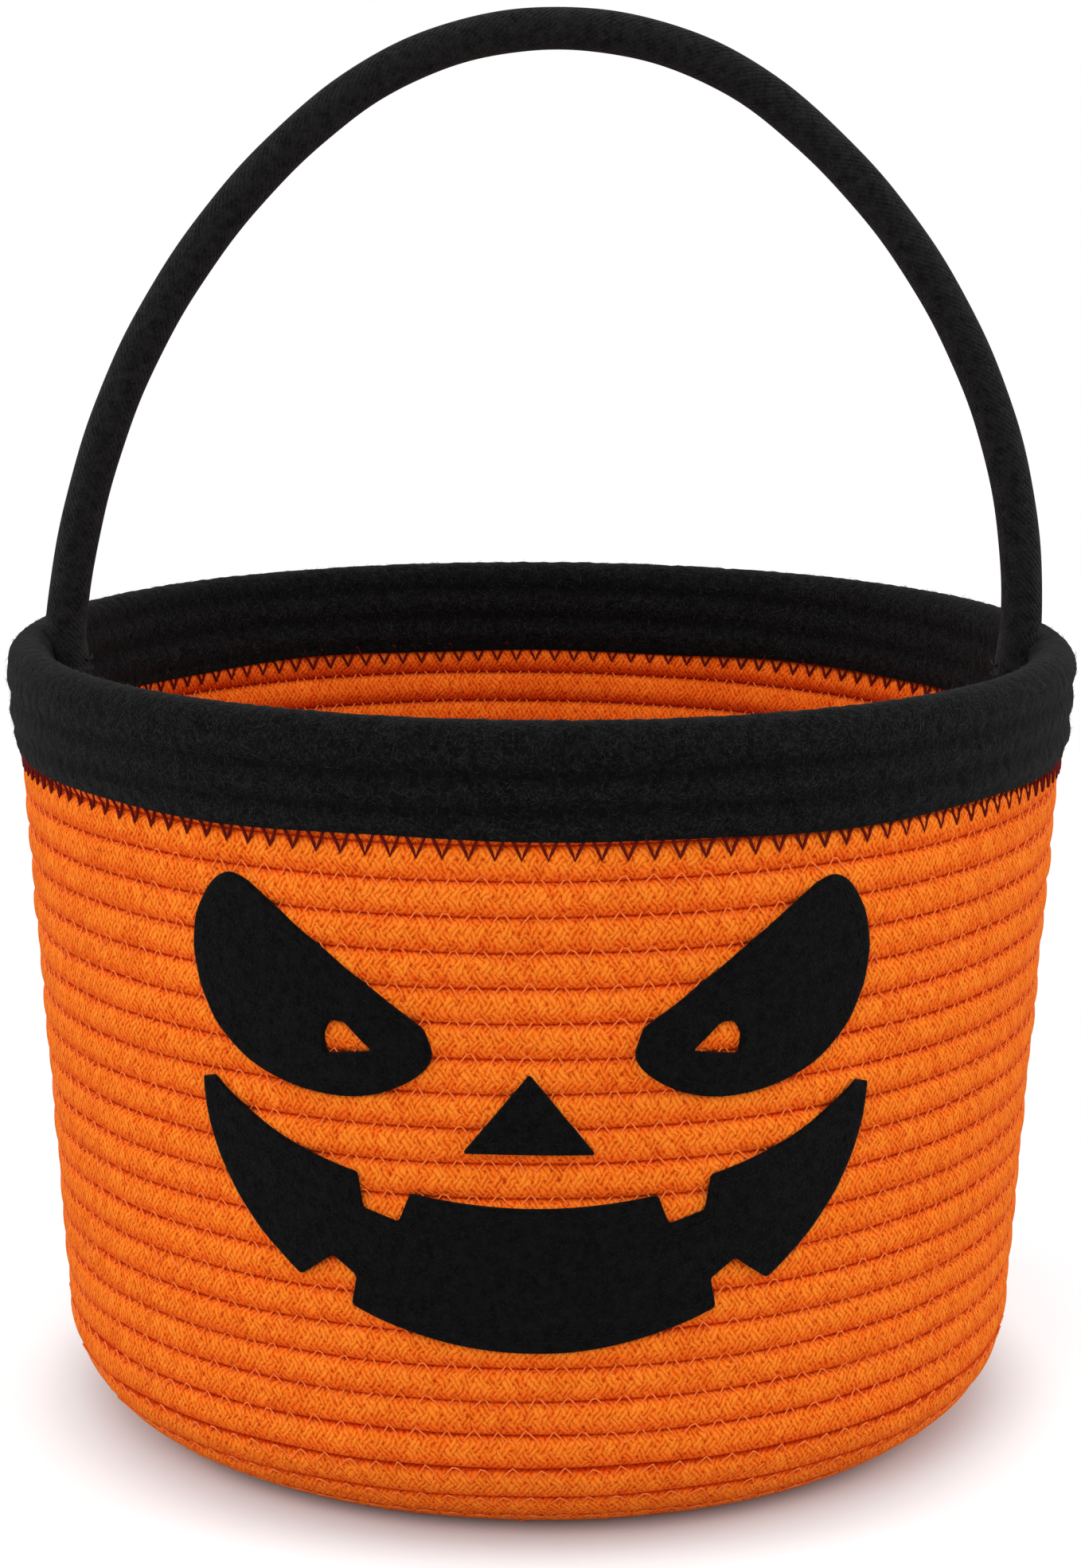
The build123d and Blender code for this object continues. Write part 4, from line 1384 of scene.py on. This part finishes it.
    def sew(self, name, outline, foot, around):
        """Running stitches a little inside a felt's outline: inset along the outline's inward normal."""
        look, form = self.look, self.form
        ahead = np.roll(outline, -DIRECTION_REACH, axis=0) - np.roll(outline, DIRECTION_REACH, axis=0)
        ahead = unit(ahead) * np.sign(inside_area(outline))
        inset = outline + look.stitch_in * np.stack([-ahead[:, 1], ahead[:, 0]], -1)
        run = run_along(inset)
        count = int(run[-1] / look.stitch)
        t = np.linspace(-0.5, 0.5, FELT_STEPS)
        spots = (np.arange(count)[:, None] + 0.5 + look.stitch_share * t[None]) * run[-1] / count
        x, z = (np.interp(spots, run, inset[:, k]) for k in (0, 1))
        top = look.lift + look.felt - FELT_SINK * look.drape
        height = top + STITCH_OVER - STITCH_DIVE * np.abs(2 * t[None]) ** 6
        path = form.laid(x, z + foot, height + 0 * x, around)
        lead = path[:, FELT_STEPS // 2] * np.array([1.0, 1.0, 0.0])
        made = stitches(name + "_stitches", path, unit(lead), self.thread_r, self.thread)
        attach(made, "basket")


# Each lamp: its name, its place and its width in metres, and its power in watts
LAMPS = (
    ("key_light", (-0.4, -1.85, 1.4), 1.6, 21.7),
    ("left_light", (-1.7, -0.1, 0.8), 1.4, 11.5),
    ("right_light", (1.7, -0.1, 0.8), 1.4, 14.5),
)
LAMP_AIM = Vector((0.0, 0.0, 0.13))  # the place that all of them look at
FLOOR_REACH = 4.0    # half of the floor's width, in metres
SENSOR_WIDTH = 36.0  # in millimetres, as for the lens


class PAIL_OT_set_stage(bpy.types.Operator):
    """Pale floor, white surroundings, soft lamps and the camera."""
    bl_idname = "pail.set_stage"
    bl_label = "Set the stage"

    def execute(self, context):
        look = context.scene.candy_pail.stage
        scene = context.scene
        scene.view_settings.view_transform = "Standard"
        self.floor(look)
        self.sky(scene, look)
        for lamp in LAMPS:
            self.lamp(scene, *lamp)
        self.camera(scene, look)
        return {"FINISHED"}

    def floor(self, look):
        """Wide square that takes the shadow near the pail and fades to plain white further off."""
        corners = np.array([(-1, -1, 0), (1, -1, 0), (1, 1, 0), (-1, 1, 0)]) * FLOOR_REACH
        m = Shader("pale_floor")
        grain = m.noise(3.0, 2.0)
        shade = m.ramp(grain, (0.0, times(0.99, look.floor)), (1.0, tuple(look.floor)))
        paths = m.add("ShaderNodeLightPath").outputs
        mirrored = m.sum("MAXIMUM", paths["Is Glossy Ray"], paths["Is Transmission Ray"])
        seen = m.sum("MAXIMUM", paths["Is Camera Ray"], mirrored)
        shade = m.mix(seen, (*look.bounce, 1.0), shade)
        m.finish(shade, m.bump(grain, 0.01 * MM), 0.9)
        spot = m.add("ShaderNodeTexCoord").outputs["Object"]
        away = m.add("ShaderNodeVectorMath", {0: spot}, operation="LENGTH").outputs["Value"]
        rise, far = (
            m.add("ShaderNodeMapRange", {"Value": away, "From Min": start, "From Max": full},
                  interpolation_type="SMOOTHSTEP").outputs[0]
            for start, full in ((look.glow_from, look.glow_full), (look.white_from, look.white_full))
        )
        level = m.sum("MULTIPLY", m.sum("MULTIPLY", seen, rise), look.glow)
        glow = m.add("ShaderNodeEmission", {"Color": (1, 1, 1, 1), "Strength": level})
        near = m.add("ShaderNodeAddShader", {0: m.surface.outputs[0], 1: glow.outputs[0]})
        white = m.add("ShaderNodeEmission", {"Color": (1, 1, 1, 1), "Strength": 1.0})
        pale = m.sum("MULTIPLY", seen, far)
        fade = m.add("ShaderNodeMixShader", {0: pale, 1: near.outputs[0], 2: white.outputs[0]})
        m.fill(m.tree.nodes["Material Output"], {"Surface": fade.outputs[0]})
        piece("floor", corners, np.array([[0, 1, 2, 3]]), m.material)

    def sky(self, scene, look):
        """World that is white to look at and lights the pail softly from all round."""
        world = bpy.data.worlds.new("white_room")
        scene.world = world
        world.use_nodes = True
        nodes, links = world.node_tree.nodes, world.node_tree.links
        paths = nodes.new("ShaderNodeLightPath")
        seen = paths.outputs["Is Camera Ray"]
        for name in ("Is Glossy Ray", "Is Transmission Ray"):
            either = nodes.new("ShaderNodeMath")
            either.operation = "MAXIMUM"
            links.new(seen, either.inputs[0])
            links.new(paths.outputs[name], either.inputs[1])
            seen = either.outputs[0]
        strength = nodes.new("ShaderNodeMapRange")
        links.new(seen, strength.inputs["Value"])
        strength.inputs["To Min"].default_value = look.sky
        strength.inputs["To Max"].default_value = 1.0
        links.new(strength.outputs[0], nodes["Background"].inputs["Strength"])
        nodes["Background"].inputs["Color"].default_value = (1, 1, 1, 1)

    def lamp(self, scene, name, place, size, power):
        """Square soft lamp that looks at the pail's middle."""
        light = bpy.data.lights.new(name, "AREA")
        light.size, light.energy = size, power
        made = bpy.data.objects.new(name, light)
        made.location = place
        aim = LAMP_AIM - made.location
        made.rotation_euler = aim.to_track_quat("-Z", "Y").to_euler()
        scene.collection.objects.link(made)

    def camera(self, scene, look):
        """Camera at the photograph's place, turned, dipped and rolled as it was."""
        lens = bpy.data.cameras.new("camera")
        lens.lens, lens.sensor_width = look.lens, SENSOR_WIDTH
        lens.clip_start, lens.clip_end = 0.01, 50.0
        made = bpy.data.objects.new("camera", lens)
        turn = Matrix.Rotation(look.yaw, 4, "Z") @ Matrix.Rotation(math.pi / 2 - look.dip, 4, "X")
        made.matrix_world = Matrix.Translation(look.camera) @ turn @ Matrix.Rotation(look.roll, 4, "Z")
        scene.collection.objects.link(made)
        scene.camera = made


class PAIL_PT_panel(bpy.types.Panel):
    """Buttons and settings of the pail."""
    bl_label = "Candy Pail"
    bl_space_type = "VIEW_3D"
    bl_region_type = "UI"
    bl_category = "Candy Pail"

    def draw(self, context):
        settings = context.scene.candy_pail
        for operator in OPERATORS:
            self.layout.operator(operator.bl_idname)
        for group in (settings.sizes, settings.rope, settings.trim, settings.handle, settings.face,
                      settings.stage):
            box = self.layout.box()
            for key in group.__annotations__:
                box.prop(group, key)


GROUPS = (PailSizes, RopeLook, TrimLook, HandleSizes, FaceLook, StageLook, PailSettings)
OPERATORS = (PAIL_OT_coil_rope, PAIL_OT_sew_rows, PAIL_OT_bind_rim, PAIL_OT_sew_rim, PAIL_OT_make_handle,
             PAIL_OT_cut_face, PAIL_OT_set_stage)


def register():
    """Adds the settings, the operators and the panel."""
    for cls in (*GROUPS, *OPERATORS, PAIL_PT_panel):
        bpy.utils.register_class(cls)
    bpy.types.Scene.candy_pail = PointerProperty(type=PailSettings)


def unregister():
    """Takes them away again."""
    del bpy.types.Scene.candy_pail
    for cls in reversed((*GROUPS, *OPERATORS, PAIL_PT_panel)):
        bpy.utils.unregister_class(cls)


def main():
    """Makes the whole pail and its stage."""
    register()
    bpy.ops.pail.coil_rope()
    bpy.ops.pail.sew_rows()
    bpy.ops.pail.bind_rim()
    bpy.ops.pail.sew_rim()
    bpy.ops.pail.make_handle()
    bpy.ops.pail.cut_face()
    bpy.ops.pail.set_stage()


if __name__ == "__main__":
    main()
